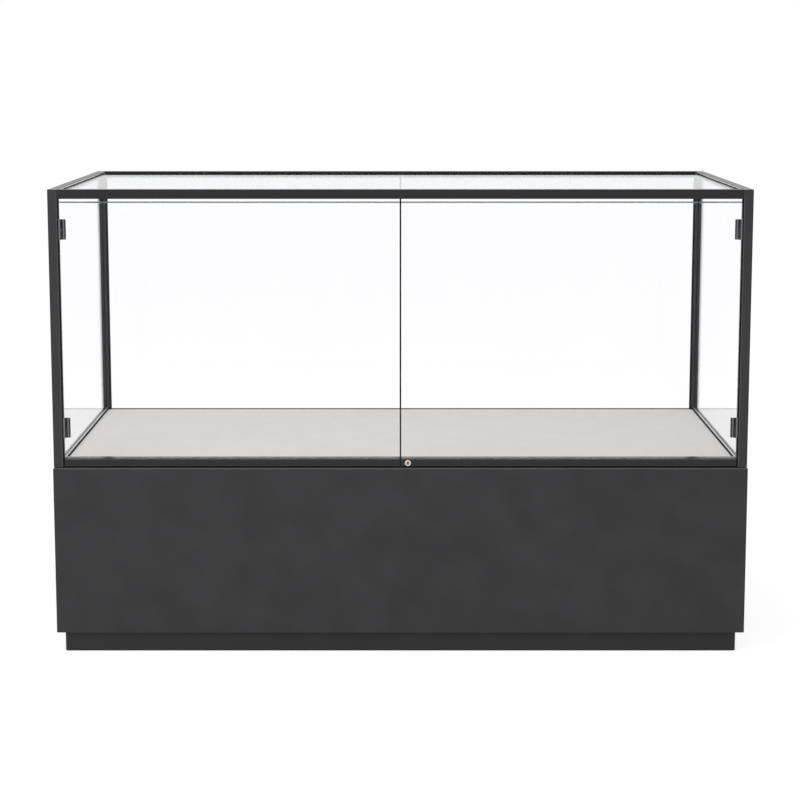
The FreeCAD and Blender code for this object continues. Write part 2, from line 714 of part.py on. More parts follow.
def front_seals(sx):
    """Rubber strip in the gap between a front post and its door, broken at the hinges."""
    half = HINGE_HEIGHT / 2 + POST_SEAL_HINGE_GAP
    ends = [DOOR_RAIL_TOP + POST_SEAL_END_GAP]
    for level in HINGE_LEVELS:
        ends += [level - half, level + half]
    ends.append(RAIL_UNDER)
    x0, x1 = sx * POST_IN_X, sx * (DOOR_OUT + POST_SEAL_GAP)
    front = -HOOD_Y + BAR_EDGE_R
    return [box(x0, x1, front, DOOR_GLASS_BACK, low, high) for low, high in zip(ends[::2], ends[1::2])]


def back_bead(sx):
    """Rubber bead that holds the back pane at one post."""
    front = POST_IN_Y + BAR_EDGE_R
    return box(sx * POST_IN_X, sx * (POST_IN_X - BACK_BEAD), front, GLAZE_Y - GLASS / 2, DECK_TOP, RAIL_UNDER)


def post_seals():
    """Rubber strips along the inner faces of the four posts."""
    return group(front_seals(-1) + front_seals(1) + [back_bead(-1), back_bead(1)])


def hinge_screw_levels():
    """Levels of the screws in the hinge plates on one post."""
    rise = HINGE_HEIGHT * HINGE_SCREW_SHARE
    return [z + step for z in HINGE_LEVELS for step in (-rise, rise)]


def hinge_wing_back():
    """Back edge of the hinge plate on the post."""
    return -POST_IN_Y - WING_END_GAP


def hinge_wing_front():
    """Front edge of that plate beside the turning knuckle."""
    return HINGE_Y + KNUCKLE_R + WING_KNUCKLE_GAP


def hinge_screw(z, extra, sx):
    """Screw through a hinge plate into the left or right post."""
    face = V(sx * (POST_IN_X - LEAF), (hinge_wing_front() + hinge_wing_back()) / 2, z)
    return countersunk(HINGE_SCREW_R + extra, HINGE_SCREW_HEAD_R + extra, HINGE_SCREW_HEAD,
                       HINGE_SCREW_LENGTH, face, V(sx, 0, 0))


def hinge_post_leaf(z, sx):
    """Lower knuckle with its plate on the post."""
    low, high = z - HINGE_HEIGHT / 2, z + HINGE_HEIGHT / 2
    mid = z - KNUCKLE_GAP / 2
    x = -HINGE_X
    face = -POST_IN_X
    knuckle = rod(KNUCKLE_R, V(x, HINGE_Y, low), V(x, HINGE_Y, mid))
    foot = box(face, face + LEAF, HINGE_Y, hinge_wing_back(), low, mid)
    wing = box(face, face + LEAF, hinge_wing_front(), hinge_wing_back(), low, high)
    shape = knuckle.fuse([foot, wing]).removeSplitter()
    tools = [rod(PIN_R + FIT, V(x, HINGE_Y, low - OVER), V(x, HINGE_Y, high))]
    tools += [hinge_screw(level, FIT, -1) for level in hinge_screw_levels()]
    shape = cut(shape, tools)
    return shape if sx < 0 else mirrored(shape)


def hinge_pin(z, sx):
    """Pin that stands in the lower knuckle and carries the upper one."""
    low = z - HINGE_HEIGHT / 2 + PIN_END_GAP
    high = z + HINGE_HEIGHT / 2 - PIN_END_GAP
    return rod(PIN_R, V(sx * HINGE_X, HINGE_Y, low), V(sx * HINGE_X, HINGE_Y, high))


def hinge_door_leaf(z, sx):
    """Upper knuckle with its plate bonded to the front of the glass."""
    low, high = z - HINGE_HEIGHT / 2, z + HINGE_HEIGHT / 2
    mid = z + KNUCKLE_GAP / 2
    x = -HINGE_X
    y0, y1 = DOOR_GLASS_FRONT - LEAF, DOOR_GLASS_FRONT
    knuckle = rod(KNUCKLE_R, V(x, HINGE_Y, mid), V(x, HINGE_Y, high))
    clear = KNUCKLE_R + HINGE_GLASS_GAP
    plate = box(x + math.sqrt(clear ** 2 - (y0 - HINGE_Y) ** 2), x + LEAF_REACH, y0, y1, low, high)
    ends = [e for e in along(plate, V(0, 1, 0)) if e.BoundBox.XMin > x + KNUCKLE_R + LEAF]
    plate = plate.makeFillet(LEAF_CORNER_R, ends)
    web = box(x, x + KNUCKLE_R + LEAF, y0, y1, mid, high)
    shape = knuckle.fuse([plate, web]).removeSplitter()
    shape = shape.cut(rod(PIN_R + FIT, V(x, HINGE_Y, low), V(x, HINGE_Y, high + OVER)))
    return shape if sx < 0 else mirrored(shape)


def lock_hole():
    """Round hole for the lock through the right door rail."""
    x = LOCK_FROM_MEETING
    return rod(LOCK_TUBE_R + FIT, V(x, DOOR_FRONT - OVER, LOCK_Z), V(x, DOOR_BACK + OVER, LOCK_Z))


def lock_notch():
    """Room for the lock in the glass and the rubber of the right door."""
    x = LOCK_FROM_MEETING
    half = LOCK_TUBE_R + GLASS_NOTCH_MARGIN
    return box(x - half, x + half, DOOR_FRONT, DOOR_BACK, HOOD_BOTTOM, LOCK_Z + half)


def door_glass(sx):
    """Pane of one door, with a rounded top edge."""
    pane = box(sx * DOOR_OUT, sx * DOOR_GLASS_IN, DOOR_GLASS_FRONT, DOOR_GLASS_BACK, DOOR_GLASS_LOW, DOOR_TOP)
    top = above(along(pane, V(1, 0, 0)), (DOOR_GLASS_LOW + DOOR_TOP) / 2)
    pane = pane.makeFillet(DOOR_GLASS_EDGE_R, top)
    return pane.cut(lock_notch()) if sx > 0 else pane


def door_rail_bar(x0, x1):
    """Length of the door rail's outer shape."""
    shape = box(x0, x1, DOOR_FRONT, DOOR_BACK, HOOD_BOTTOM, DOOR_RAIL_TOP)
    return shape.makeChamfer(DOOR_RAIL_CHAMFER, along(shape, V(1, 0, 0)))


def door_groove():
    """Glazing groove along the top of both door rails."""
    g0, g1 = DOOR_GLASS_FRONT - RUBBER, DOOR_GLASS_BACK + RUBBER
    return box(-HALF_W, HALF_W, g0, g1, DOOR_GROOVE_FLOOR, DOOR_RAIL_TOP + OVER)


def door_rail(sx):
    """Bottom rail of one door: glazing groove on top and a hollow behind it."""
    shape = door_rail_bar(sx * (DOOR_OUT - END_CAP), sx * (DOOR_IN + END_CAP))
    wall = DOOR_CHAMBER_WALL
    front = DOOR_GLASS_BACK + RUBBER + wall
    hollow = box(-HALF_W, HALF_W, front, DOOR_BACK - wall, HOOD_BOTTOM + wall, DOOR_RAIL_TOP - wall)
    tools = [door_groove(), hollow]
    if sx > 0:
        tools.append(lock_hole())
    return cut(shape, tools)


def door_end_caps(sx):
    """Caps on both ends of a door rail, open over the glazing groove."""
    ends = ((DOOR_OUT, DOOR_OUT - END_CAP), (DOOR_IN, DOOR_IN + END_CAP))
    return group(door_rail_bar(sx * x0, sx * x1).cut(door_groove()) for x0, x1 in ends)


def door_channel(sx):
    """Rubber channel that holds the pane in its rail."""
    g0, g1 = DOOR_GLASS_FRONT, DOOR_GLASS_BACK
    slot = (-HALF_W, HALF_W, g0, g1, DOOR_GLASS_LOW, DOOR_RAIL_TOP + OVER)
    rubber = channel(sx * DOOR_OUT, sx * DOOR_GLASS_IN, g0 - RUBBER, g1 + RUBBER,
                     DOOR_GROOVE_FLOOR, DOOR_RAIL_TOP, slot)
    return rubber.cut(lock_notch()) if sx > 0 else rubber


def meeting_seal(sx):
    """Soft strip on the meeting edge of one door."""
    x0, x1 = sx * DOOR_GLASS_IN, sx * SEAL_GAP / 2
    return box(x0, x1, DOOR_GLASS_FRONT, DOOR_GLASS_BACK, DOOR_RAIL_TOP, DOOR_TOP)


def lock_body():
    """Lock housing: bevelled flange on the rail's face and a tube through the rail."""
    x = LOCK_FROM_MEETING
    face = DOOR_FRONT - LOCK_FLANGE
    bevel = LOCK_FLANGE_CHAMFER
    way = V(0, 1, 0)
    front = Part.makeCone(LOCK_FLANGE_R - bevel, LOCK_FLANGE_R, bevel, V(x, face, LOCK_Z), way)
    flange = rod(LOCK_FLANGE_R, V(x, face + bevel, LOCK_Z), V(x, DOOR_FRONT, LOCK_Z))
    tube = rod(LOCK_TUBE_R, V(x, DOOR_FRONT, LOCK_Z), V(x, LOCK_TUBE_END, LOCK_Z))
    bore = rod(LOCK_PLUG_R + FIT, V(x, face - OVER, LOCK_Z), V(x, LOCK_TUBE_END + OVER, LOCK_Z))
    return front.fuse([flange, tube]).removeSplitter().cut(bore)


def lock_nut():
    """Hexagon nut behind the rail."""
    start, end = V(LOCK_FROM_MEETING, DOOR_BACK, LOCK_Z), V(LOCK_FROM_MEETING, LOCK_TUBE_END, LOCK_Z)
    corner = (LOCK_TUBE_R + LOCK_NUT_WALL) / math.cos(SIXTHS[1] / 2)
    over = V(0, OVER, 0)
    return stud(corner, start, end).cut(rod(LOCK_TUBE_R + FIT, start - over, end + over))


def lock_cylinder():
    """Turning plug with its key slot and the square tail that drives the cam."""
    x = LOCK_FROM_MEETING
    face = DOOR_FRONT - LOCK_FLANGE - LOCK_PLUG_PROUD
    cam_front = KEEPER_Y - CAM_THICK / 2
    plug = rod(LOCK_PLUG_R, V(x, face, LOCK_Z), V(x, cam_front, LOCK_Z))
    cam_back = KEEPER_Y + CAM_THICK / 2
    half = CAM_SQUARE / 2
    tail = box(x - half, x + half, cam_front, cam_back + CAM_TAIL, LOCK_Z - half, LOCK_Z + half)
    slot = box(x - KEY_SLOT_WIDTH / 2, x + KEY_SLOT_WIDTH / 2, face - OVER, face + KEY_SLOT_DEPTH,
               LOCK_Z - KEY_SLOT_HEIGHT / 2, LOCK_Z + KEY_SLOT_HEIGHT / 2)
    return plug.fuse(tail).removeSplitter().cut(slot)


def lock_cam():
    """Cam on the plug's tail; it lies to the right when unlocked and drops into the keeper when turned."""
    x = LOCK_FROM_MEETING
    y0, y1 = KEEPER_Y - CAM_THICK / 2, KEEPER_Y + CAM_THICK / 2
    half = CAM_WIDTH / 2
    tip = x + CAM_REACH - half
    hub = rod(CAM_HUB_R, V(x, y0, LOCK_Z), V(x, y1, LOCK_Z))
    arm = box(x, tip, y0, y1, LOCK_Z - half, LOCK_Z + half)
    nose = rod(half, V(tip, y0, LOCK_Z), V(tip, y1, LOCK_Z))
    hole = CAM_SQUARE / 2 + FIT
    square = box(x - hole, x + hole, y0 - OVER, y1 + OVER, LOCK_Z - hole, LOCK_Z + hole)
    return hub.fuse([arm, nose]).removeSplitter().cut(square)


def bolt_guide():
    """Housing on the back of the left door rail that the bolt slides in."""
    x = -BOLT_FROM_MEETING
    half_t = BOLT_THICK / 2 + BOLT_GAP
    half_w = BOLT_WIDTH / 2 + BOLT_GAP
    back = KEEPER_Y + half_t + GUIDE_BACK_WALL
    block = box(x - GUIDE_WIDTH / 2, x + GUIDE_WIDTH / 2, DOOR_BACK, back, GUIDE_LOW, GUIDE_HIGH)
    run = box(x - half_w, x + half_w, KEEPER_Y - half_t, KEEPER_Y + half_t,
              GUIDE_LOW - OVER, BOLT_HIGH + BOLT_GAP)
    knob_z = bolt_knob_level()
    half_k = BOLT_KNOB_R + BOLT_GAP
    window = box(x - half_k, x + half_k, KEEPER_Y, back + OVER,
                 knob_z - BOLT_TRAVEL - half_k, knob_z + half_k)
    return cut(block, [run, window])


def bolt_knob_level():
    """Level of the bolt's thumb knob at rest."""
    return BOLT_HIGH - BOLT_KNOB_R - GUIDE_END_GAP


def left_bolt():
    """Flat bolt with its thumb knob, drawn up at rest."""
    x = -BOLT_FROM_MEETING
    y0, y1 = KEEPER_Y - BOLT_THICK / 2, KEEPER_Y + BOLT_THICK / 2
    blade = box(x - BOLT_WIDTH / 2, x + BOLT_WIDTH / 2, y0, y1, BOLT_LOW, BOLT_HIGH)
    z = bolt_knob_level()
    knob = rod(BOLT_KNOB_R, V(x, KEEPER_Y, z), V(x, y1 + BOLT_KNOB, z))
    return blade.fuse(knob).removeSplitter()


def frame_nodes():
    """Posts, rails, sill and what joins them."""
    for sx, side in ((-1, "left"), (1, "right")):
        save(side + "_front_post", post(sx, -1))
        save(side + "_back_post", post(sx, 1))
        save(side + "_top_rail", top_rail_y(sx))
        save(side + "_floor_rail", side_floor_rail(sx, side))
    save("front_top_rail", top_rail_x(-1))
    save("back_top_rail", top_rail_x(1))
    save("back_floor_rail", back_floor_rail())
    save("front_sill", front_sill())
    save("lock_keeper", lock_keeper())
    save("post_feet", post_feet())
    save("post_anchors", group(anchor(x, y) for x, y in post_centres()))
    save("rail_keys", group(key(x, y, way) for x, y, way in key_places()))
    save("hood_screws", hood_screws())


def glass_nodes():
    """Fixed panes, their rubber and the strip at the back."""
    save("top_glass", top_glass())
    for sx, side in ((-1, "left"), (1, "right")):
        save(side + "_glass", side_glass(sx))
        save("back_glass_" + side, back_glass(sx))
    save("back_joint_seal", back_joint_seal())
    save("glazing_channels", glazing_channels())
    save("post_seals", post_seals())


def hinge_nodes():
    """The fixed half of every hinge."""
    ends = [(z, sx) for z in HINGE_LEVELS for sx in (-1, 1)]
    save("hinge_post_leaves", group(hinge_post_leaf(z, sx) for z, sx in ends))
    save("hinge_pins", group(hinge_pin(z, sx) for z, sx in ends))
    screws = [hinge_screw(z, 0.0, sx) for z in hinge_screw_levels() for sx in (-1, 1)]
    save("hinge_screws", group(screws))


def door_nodes():
    """Both doors, then the lock on the right one and the bolt on the left one."""
    for sx, side in ((-1, "left"), (1, "right")):
        save(side + "_door_glass", door_glass(sx))
        save(side + "_door_rail", door_rail(sx))
        save(side + "_door_channel", door_channel(sx))
        save(side + "_door_end_caps", door_end_caps(sx))
        save(side + "_hinge_leaves", group(hinge_door_leaf(z, sx) for z in HINGE_LEVELS))
        save(side + "_meeting_seal", meeting_seal(sx))
    save("lock_body", lock_body())
    save("lock_nut", lock_nut())
    save("lock_cylinder", lock_cylinder())
    save("lock_cam", lock_cam())
    save("bolt_guide", bolt_guide())
    save("left_bolt", left_bolt())


def main():
    """Builds every node."""
    os.makedirs("parts", exist_ok=True)
    plinth_pieces()
    save("plinth_brackets", plinth_brackets())
    save("plinth_screws", group(plinth_screw(x, y) for x, y in plinth_screw_places()))
    base_panels()
    save("base_bottom", base_bottom())
    save("base_top", base_top())
    save("base_partition", base_partition())
    save("deck_board", deck_board())
    frame_nodes()
    glass_nodes()
    hinge_nodes()
    door_nodes()


main()
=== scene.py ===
"""Dresses the museum display case: paint, powder coat, glazing, cloth deck, hinges, lock and stage."""
import math
from functools import partial

import bmesh
import bpy
from bpy.props import FloatProperty, FloatVectorProperty, PointerProperty
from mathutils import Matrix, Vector


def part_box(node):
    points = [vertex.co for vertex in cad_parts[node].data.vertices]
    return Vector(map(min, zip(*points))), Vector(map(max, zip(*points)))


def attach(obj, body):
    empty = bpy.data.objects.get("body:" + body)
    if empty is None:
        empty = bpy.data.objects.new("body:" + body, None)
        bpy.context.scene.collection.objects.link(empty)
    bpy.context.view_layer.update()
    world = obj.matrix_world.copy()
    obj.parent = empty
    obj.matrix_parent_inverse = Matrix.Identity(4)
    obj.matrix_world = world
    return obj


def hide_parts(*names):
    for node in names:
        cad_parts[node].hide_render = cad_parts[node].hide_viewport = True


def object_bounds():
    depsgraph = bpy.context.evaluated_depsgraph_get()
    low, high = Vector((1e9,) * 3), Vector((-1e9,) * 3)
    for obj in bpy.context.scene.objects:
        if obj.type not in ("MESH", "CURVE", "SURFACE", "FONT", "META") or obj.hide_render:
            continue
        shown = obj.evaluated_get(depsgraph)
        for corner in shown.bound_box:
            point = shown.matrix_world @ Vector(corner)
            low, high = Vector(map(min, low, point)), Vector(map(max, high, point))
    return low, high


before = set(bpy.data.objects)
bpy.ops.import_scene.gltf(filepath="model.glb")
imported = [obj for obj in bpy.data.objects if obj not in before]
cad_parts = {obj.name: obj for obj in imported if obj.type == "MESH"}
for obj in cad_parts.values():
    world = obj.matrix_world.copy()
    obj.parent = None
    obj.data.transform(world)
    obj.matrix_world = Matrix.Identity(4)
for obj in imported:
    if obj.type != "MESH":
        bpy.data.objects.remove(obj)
CAD_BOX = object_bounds()

bl_info = {
    "name": "Museum display case",
    "version": (1, 0, 0),
    "blender": (4, 5, 0),
    "location": "3D View > Sidebar > Display case",
    "description": "Glazes, paints and furnishes the display case and sets its stage",
    "category": "Object",
}

X, Y, Z = range(3)
X_AXIS = Vector((1, 0, 0))
Y_AXIS = Vector((0, 1, 0))
Z_AXIS = Vector((0, 0, 1))
MM = 0.001
NEAR = 0.01 * MM
DOUBLES = 0.001 * MM
SMOOTH_ANGLE = math.radians(32)
FLAT_ANGLE = math.radians(0.5)
FACING = 0.999
ROUND_SIDES = 64

# How much lighter a painted highlight along an edge is, and how far from the edge it starts and is full
PAINTED_HIGHLIGHT_TONE = 2.4
PANEL_HIGHLIGHT = (2.6 * MM, 0.6 * MM)
POST_HIGHLIGHT_ACROSS = (1.6 * MM, 0.9 * MM)
POST_HIGHLIGHT_ALONG = (2.2 * MM, 1.4 * MM)
# The part of a crest's half width that takes the full painted highlight, and where a hinge plate's
# highlighted crest lies on its leaf
CREST_CORE_SHARE = 0.3
PLATE_CREST_SHARE = 0.28
GLOSS_SWING = 0.05
# Radians that a wave texture turns in a metre, at a scale of 1
WAVE_PACE = 20
# A pane's coat against reflections is shown by a lower index of refraction than its bare edges have
COATED_BENDING = 1.15
TOP_BENDING = 1.07
BARE_BENDING = 1.5
EDGE_ROUGHNESS = 0.22
EDGE_SMEAR = 0.06
WHITE = (1, 1, 1, 1)
# Rounding of thin strips, as shares of their height, thickness or width
BEAD_ROUND_SHARE = 0.3
STRIP_ROUND_SHARE = 0.4
RUBBER_ROUND_SHARE = 0.7
# Rings of a screw's head from shank to face, and other shares of a screw's or pin's radius
HEAD_SHARES = ((0.55, 0.62), (0.96, 0.12), (1.0, 0.06), (0.98, 0.0))
TIP_SHARE = 0.3
SOCKET_SHARE = 0.55
DOME_SHARE = 0.5
DOME_STEPS = (0, 18, 36, 54, 72, 86)
# A little over half of the keyhole's recess, and the bevel on the end of the lock's tail
KEYHOLE_REACH_SHARE = 0.51
TAIL_BEVEL_SHARE = 0.2
# Places and widths of the soft lamps and the floor's radius, in metres
KEY_SPOT = (-0.6, -0.8, 3.8)
KEY_WIDTH = 4.0
FILL_SPOT = (-3.6, -4.2, 2.4)
FILL_WIDTH = 3.0
FLOOR_RADIUS = 14.0

SIDES = ("left", "right")
BASE_PANELS = ("base_front", "base_back", "base_left", "base_right")
BASE_BOARDS = ("base_bottom", "base_top", "base_partition")
PLINTH_RAILS = ("plinth_front", "plinth_back", "plinth_left", "plinth_right")
POSTS = ("left_front_post", "right_front_post", "left_back_post", "right_back_post")
TOP_RAILS = ("front_top_rail", "back_top_rail", "left_top_rail", "right_top_rail")
FLOOR_RAILS = ("left_floor_rail", "right_floor_rail", "back_floor_rail")
LOW_RAILS = ("front_sill", "left_door_rail", "right_door_rail")
FIXED_PANES = ("top_glass", "left_glass", "right_glass", "back_glass_left", "back_glass_right")
DOOR_PANES = {"left_door_glass": "left_door", "right_door_glass": "right_door"}
SEALS = ("back_joint_seal", "glazing_channels", "post_seals", "left_door_channel",
         "right_door_channel", "left_meeting_seal", "right_meeting_seal")
PLASTICS = ("post_feet", "left_door_end_caps", "right_door_end_caps")
STEELS = ("plinth_brackets", "plinth_screws", "lock_keeper", "post_anchors", "rail_keys",
          "hood_screws", "lock_nut", "lock_cam", "left_bolt")
HINGE_LEAVES = {"hinge_post_leaves": "case", "left_hinge_leaves": "left_door",
                "right_hinge_leaves": "right_door"}


def srgb(red, green, blue):
    """A colour given from 0 to 255, in the linear values that shaders use."""
    def linear(value):
        share = value / 255
        return share / 12.92 if share <= 0.04045 else ((share + 0.055) / 1.055) ** 2.4
    return tuple(linear(value) for value in (red, green, blue))


def colour(name, description, *rgb):
    """A colour that a user may change, its default given from 0 to 255."""
    return FloatVectorProperty(name=name, description=description, default=srgb(*rgb),
                               subtype="COLOR", size=3, min=0.0, max=1.0)


def number(name, description, default, **kind):
    """A number that a user may change."""
    return FloatProperty(name=name, description=description, default=default, **kind)


def length(name, description, millimetres):
    """A length that a user may change, its default given in millimetres."""
    return number(name, description, millimetres * MM, subtype="DISTANCE", unit="LENGTH", precision=5)


class CaseFinishes(bpy.types.PropertyGroup):
    """Colours of the case's finishes."""
    base: colour("Base paint", "Matt charcoal paint of the base panels", 56, 56, 58)
    plinth: colour("Plinth paint", "Darker paint of the recessed plinth", 50, 50, 52)
    # Painted light: the posts get a lighter colour than the top rails of the same coat, standing in for the
    # reflection on their fronts
    posts: colour("Posts", "Satin charcoal coat of the corner posts", 62, 62, 64)
    top_rails: colour("Top rails", "Satin black coat of the hood's top rails", 48, 48, 50)
    floor_rails: colour("Floor rails", "Duller black coat of the floor rails", 34, 35, 37)
    low_rails: colour("Low rails", "Glossier black coat of sill and door rails", 23, 23, 25)
    hinges: colour("Hinges", "Black coat of hinge leaves and bolt guide", 27, 28, 30)
    # Painted highlight: the lighter colour of the hinges' knuckle and plate crests
    crests: colour("Hinge crests", "Rubbed crests of knuckles and plates", 122, 123, 127)
    deck: colour("Deck cloth", "Pale warm grey cloth over the deck", 228, 225, 220)
    glass: colour("Glass", "Faint cool tint of the upright panes", 254, 254, 255)
    # Painted shade: the top pane is drawn in this darker tint, while the lamps' light passes it in the
    # upright panes' fainter tint
    top_glass: colour("Top glass", "Stronger tint of the laminated top pane", 241, 243, 245)
    door_edge: colour("Door edges", "Dark tint at the door panes' polished edges", 84, 91, 94)
    pane_edge: colour("Pane edges", "Pale tint at the fixed panes' captive edges", 206, 216, 219)
    rubber: colour("Rubber", "Seals and glazing channels", 34, 34, 35)
    plastic: colour("Plastic", "Moulded feet and end caps", 38, 38, 40)
    steel: colour("Zinc steel", "Plated brackets, screws, keeper and bolt", 176, 178, 180)
    # Painted highlight: the pale colour of the polished strips put beside the panes to show highlight lines
    bright: colour("Bright beads", "Polished strips beside the panes", 218, 220, 222)
    nickel: colour("Lock nickel", "Satin nickel of the lock's face", 214, 203, 197)
    # Painted shadow: the black of the rose's border and the washer stands in for the dark ring of shadow
    # round the lock
    rim: colour("Lock rim", "Black border of the lock's rose, and its washer", 12, 12, 13)
    keyway: colour("Keyway", "Darkened brass inside the key slot", 84, 70, 60)
    board: colour("Inner board", "Raw particle board inside the base", 176, 148, 112)


class CaseSizes(bpy.types.PropertyGroup):
    """Sizes of the detail added to the frame."""
    glass_room: length("Glass room", "Room between a pane and its channel", 0.05)
    arris: length("Glass arris", "Ground bevel along a pane's captive edges", 0.3)
    pencil: length("Pencil edge", "Radius of a door pane's top edge", 2.85)
    lip: length("Strip lip", "Thickness of the left meeting strip's lip", 0.6)
    lip_room: length("Lip room", "Room between the lip and the right door's strip", 0.25)
    # The polished bead and strip below are painted highlight lines
    highlight_bead: length("Bright bead", "Height of the bead along each side pane", 1.5)
    highlight_strip: length("Bright strip", "Height of the strip inside each side top rail", 1.8)
    strip_drop: length("Strip drop", "How far the strip lies below the rail's top", 1.1)
    strip_thick: length("Strip thickness", "Thickness of the bright strip", 0.4)
    wedge: length("Wedge width", "Width of the wedge outside each side pane", 3.2)
    wedge_height: length("Wedge height", "Height of the wedge outside each side pane", 1.8)
    # Half width of the painted highlights along the hinges' crests
    crest: length("Hinge crest", "Half the width of a hinge's rubbed crests", 2.5)
    # The deck's black bead is painted shadow in the gap between deck and rail
    bead: length("Deck bead", "Width of the bead along the deck's sides", 1.8)
    cloth_round: length("Cloth edge", "Radius where the cloth turns over the deck's edge", 1.6)
    thread: length("Cloth thread", "Distance between the cloth's threads", 1.1)
    hinge_ease: length("Hinge edges", "Rounding of the hinge leaves' edges", 0.3)
    socket: length("Screw socket", "Width across the hinge screws' sockets", 1.5)
    rose_round: length("Rose rim", "Rounding of the lock's outer rim", 0.9)
    # The black border and the washer round the rose are painted shadow round the lock
    rose_shadow_rim: length("Rose border", "Width of the blackened border on that rounding", 0.85)
    washer: length("Washer width", "How far the washer stands out round the rose", 0.75)
    washer_thick: length("Washer thickness", "Thickness of the lock's washer", 0.5)
    rose_lip: length("Rose lip", "Bevel round the lock's bore", 0.25)
    keyhole_width: length("Keyhole width", "Width of the recess round the key slot", 4.0)
    keyhole_height: length("Keyhole height", "Height of the recess round the key slot", 7.4)
    keyhole_depth: length("Keyhole depth", "Depth of the recess round the key slot", 0.9)


class CaseStage(bpy.types.PropertyGroup):
    """Camera, lamps and floor."""
    lens: number("Focal length", "Focal length of the camera", 92.948,
                 subtype="DISTANCE_CAMERA", unit="CAMERA")
    aside: length("Camera offset", "Distance of the camera from the middle, to the right", -1.0)
    back: length("Camera distance", "Distance of the camera in front of the case's middle", 4749.3)
    height: length("Camera height", "Height of the camera over the floor", 1278.9)
    pitch: number("Camera tilt", "How far the camera looks down", math.radians(8.454),
                  subtype="ANGLE", unit="ROTATION")
    shift: number("Camera shift", "Vertical shift of the lens", -0.04)
    ambient: number("Ambient light", "Strength of the light from all around", 0.58, min=0.0)
    key: number("Key lamp", "Power of the soft lamp above", 62.0, subtype="POWER", unit="POWER")
    fill: number("Fill lamp", "Power of the soft lamp at the front left", 42.0, subtype="POWER", unit="POWER")
    floor: colour("Floor", "Plain pale floor", 236, 236, 235)
    floor_glow: number("Floor glow", "Makes the floor white to the eye only", 1.22, min=0.0)
    shadow: number("Floor shadow", "How much of its shadow the floor shows", 0.3,
                   subtype="FACTOR", min=0.0, max=1.0)


class CaseSettings(bpy.types.PropertyGroup):
    """All that a user may change on the case."""
    finishes: PointerProperty(type=CaseFinishes)
    sizes: PointerProperty(type=CaseSizes)
    stage: PointerProperty(type=CaseStage)


def settings():
    """The case's settings, kept on the scene."""
    return bpy.context.scene.display_case


# Shader helpers

def feed(tree, node, sockets):
    """Sets a node's sockets, or links them to other nodes."""
    for name, value in sockets.items():
        if isinstance(value, bpy.types.NodeSocket):
            tree.links.new(value, node.inputs[name])
        else:
            node.inputs[name].default_value = value


def add_node(tree, kind, sockets, **choices):
    """A shader node with its choices made and its sockets fed."""
    node = tree.nodes.new(kind)
    for name, choice in choices.items():
        setattr(node, name, choice)
    feed(tree, node, sockets)
    return node


def reckon(tree, operation, *values):
    """The result of one reckoning."""
    return add_node(tree, "ShaderNodeMath", dict(enumerate(values)), operation=operation).outputs[0]


def new_finish(name):
    """A new material, its node tree, its shader and the object's coordinates."""
    finish = bpy.data.materials.new(name)
    finish.use_nodes = True
    tree = finish.node_tree
    place = tree.nodes.new("ShaderNodeTexCoord").outputs["Object"]
    return finish, tree, tree.nodes["Principled BSDF"], place


def noise(tree, place, size, detail=3.0):
    """Soft noise with blotches of about a given size."""
    return add_node(tree, "ShaderNodeTexNoise",
                    {"Vector": place, "Scale": 1.0 / size, "Detail": detail}).outputs["Fac"]


def stretched(tree, place, scale):
    """The coordinates with each axis scaled."""
    return add_node(tree, "ShaderNodeMapping", {"Vector": place, "Scale": scale}).outputs["Vector"]


def mirrored(tree, place):
    """The coordinates one by one, the same on either side of the middle."""
    either = add_node(tree, "ShaderNodeVectorMath", {0: place}, operation="ABSOLUTE").outputs[0]
    return add_node(tree, "ShaderNodeSeparateXYZ", {"Vector": either}).outputs


def spread(tree, value, low=0.0, high=1.0, start=0.35, end=0.65):
    """A value from one range put into another."""
    return add_node(tree, "ShaderNodeMapRange",
                    {"Value": value, "From Min": start, "From Max": end,
                     "To Min": low, "To Max": high}).outputs["Result"]


def blend(tree, factor, first, second):
    """One colour fading into another."""
    return add_node(tree, "ShaderNodeMix", {0: factor, 6: first, 7: second}, data_type="RGBA").outputs[2]


def bump(tree, height, depth, strength=1.0):
    """Small relief of a given depth."""
    return add_node(tree, "ShaderNodeBump",
                    {"Height": height, "Distance": depth, "Strength": strength}).outputs["Normal"]


def show(tree, output, factor, first, second):
    """Shows a mix of two shaders."""
    mix = add_node(tree, "ShaderNodeMixShader", {0: factor, 1: first, 2: second})
    feed(tree, tree.nodes[output], {"Surface": mix.outputs[0]})


def tinted(rgb, factors):
    """A colour with each channel made lighter or darker, with full alpha."""
    return tuple(min(1.0, channel * factor) for channel, factor in zip(rgb, factors)) + (1.0,)


def tone(rgb, factor=1.0):
    """A colour made lighter or darker, with full alpha."""
    return tinted(rgb, (factor,) * 3)


# Finishes

def highlighted(tree, place, limits):
    """1 along worn edges, where each axis is past its limits on either side."""
    axes = mirrored(tree, place)
    painted_highlight = 1.0
    for axis, start, full in limits:
        painted_highlight = reckon(tree, "MULTIPLY", painted_highlight, spread(tree, axes[axis], start=start, end=full))
    return painted_highlight


def crest_highlights(tree, place, bands, half):
    """1 along upright crests on either side, fading to nothing at half a width."""
    across = mirrored(tree, place)["X"]
    painted_highlight = 0.0
    for band in bands:
        far = reckon(tree, "ABSOLUTE", reckon(tree, "SUBTRACT", across, band))
        crest = spread(tree, far, 1.0, 0.0, half * CREST_CORE_SHARE, half)
        painted_highlight = reckon(tree, "MAXIMUM", painted_highlight, crest)
    return painted_highlight


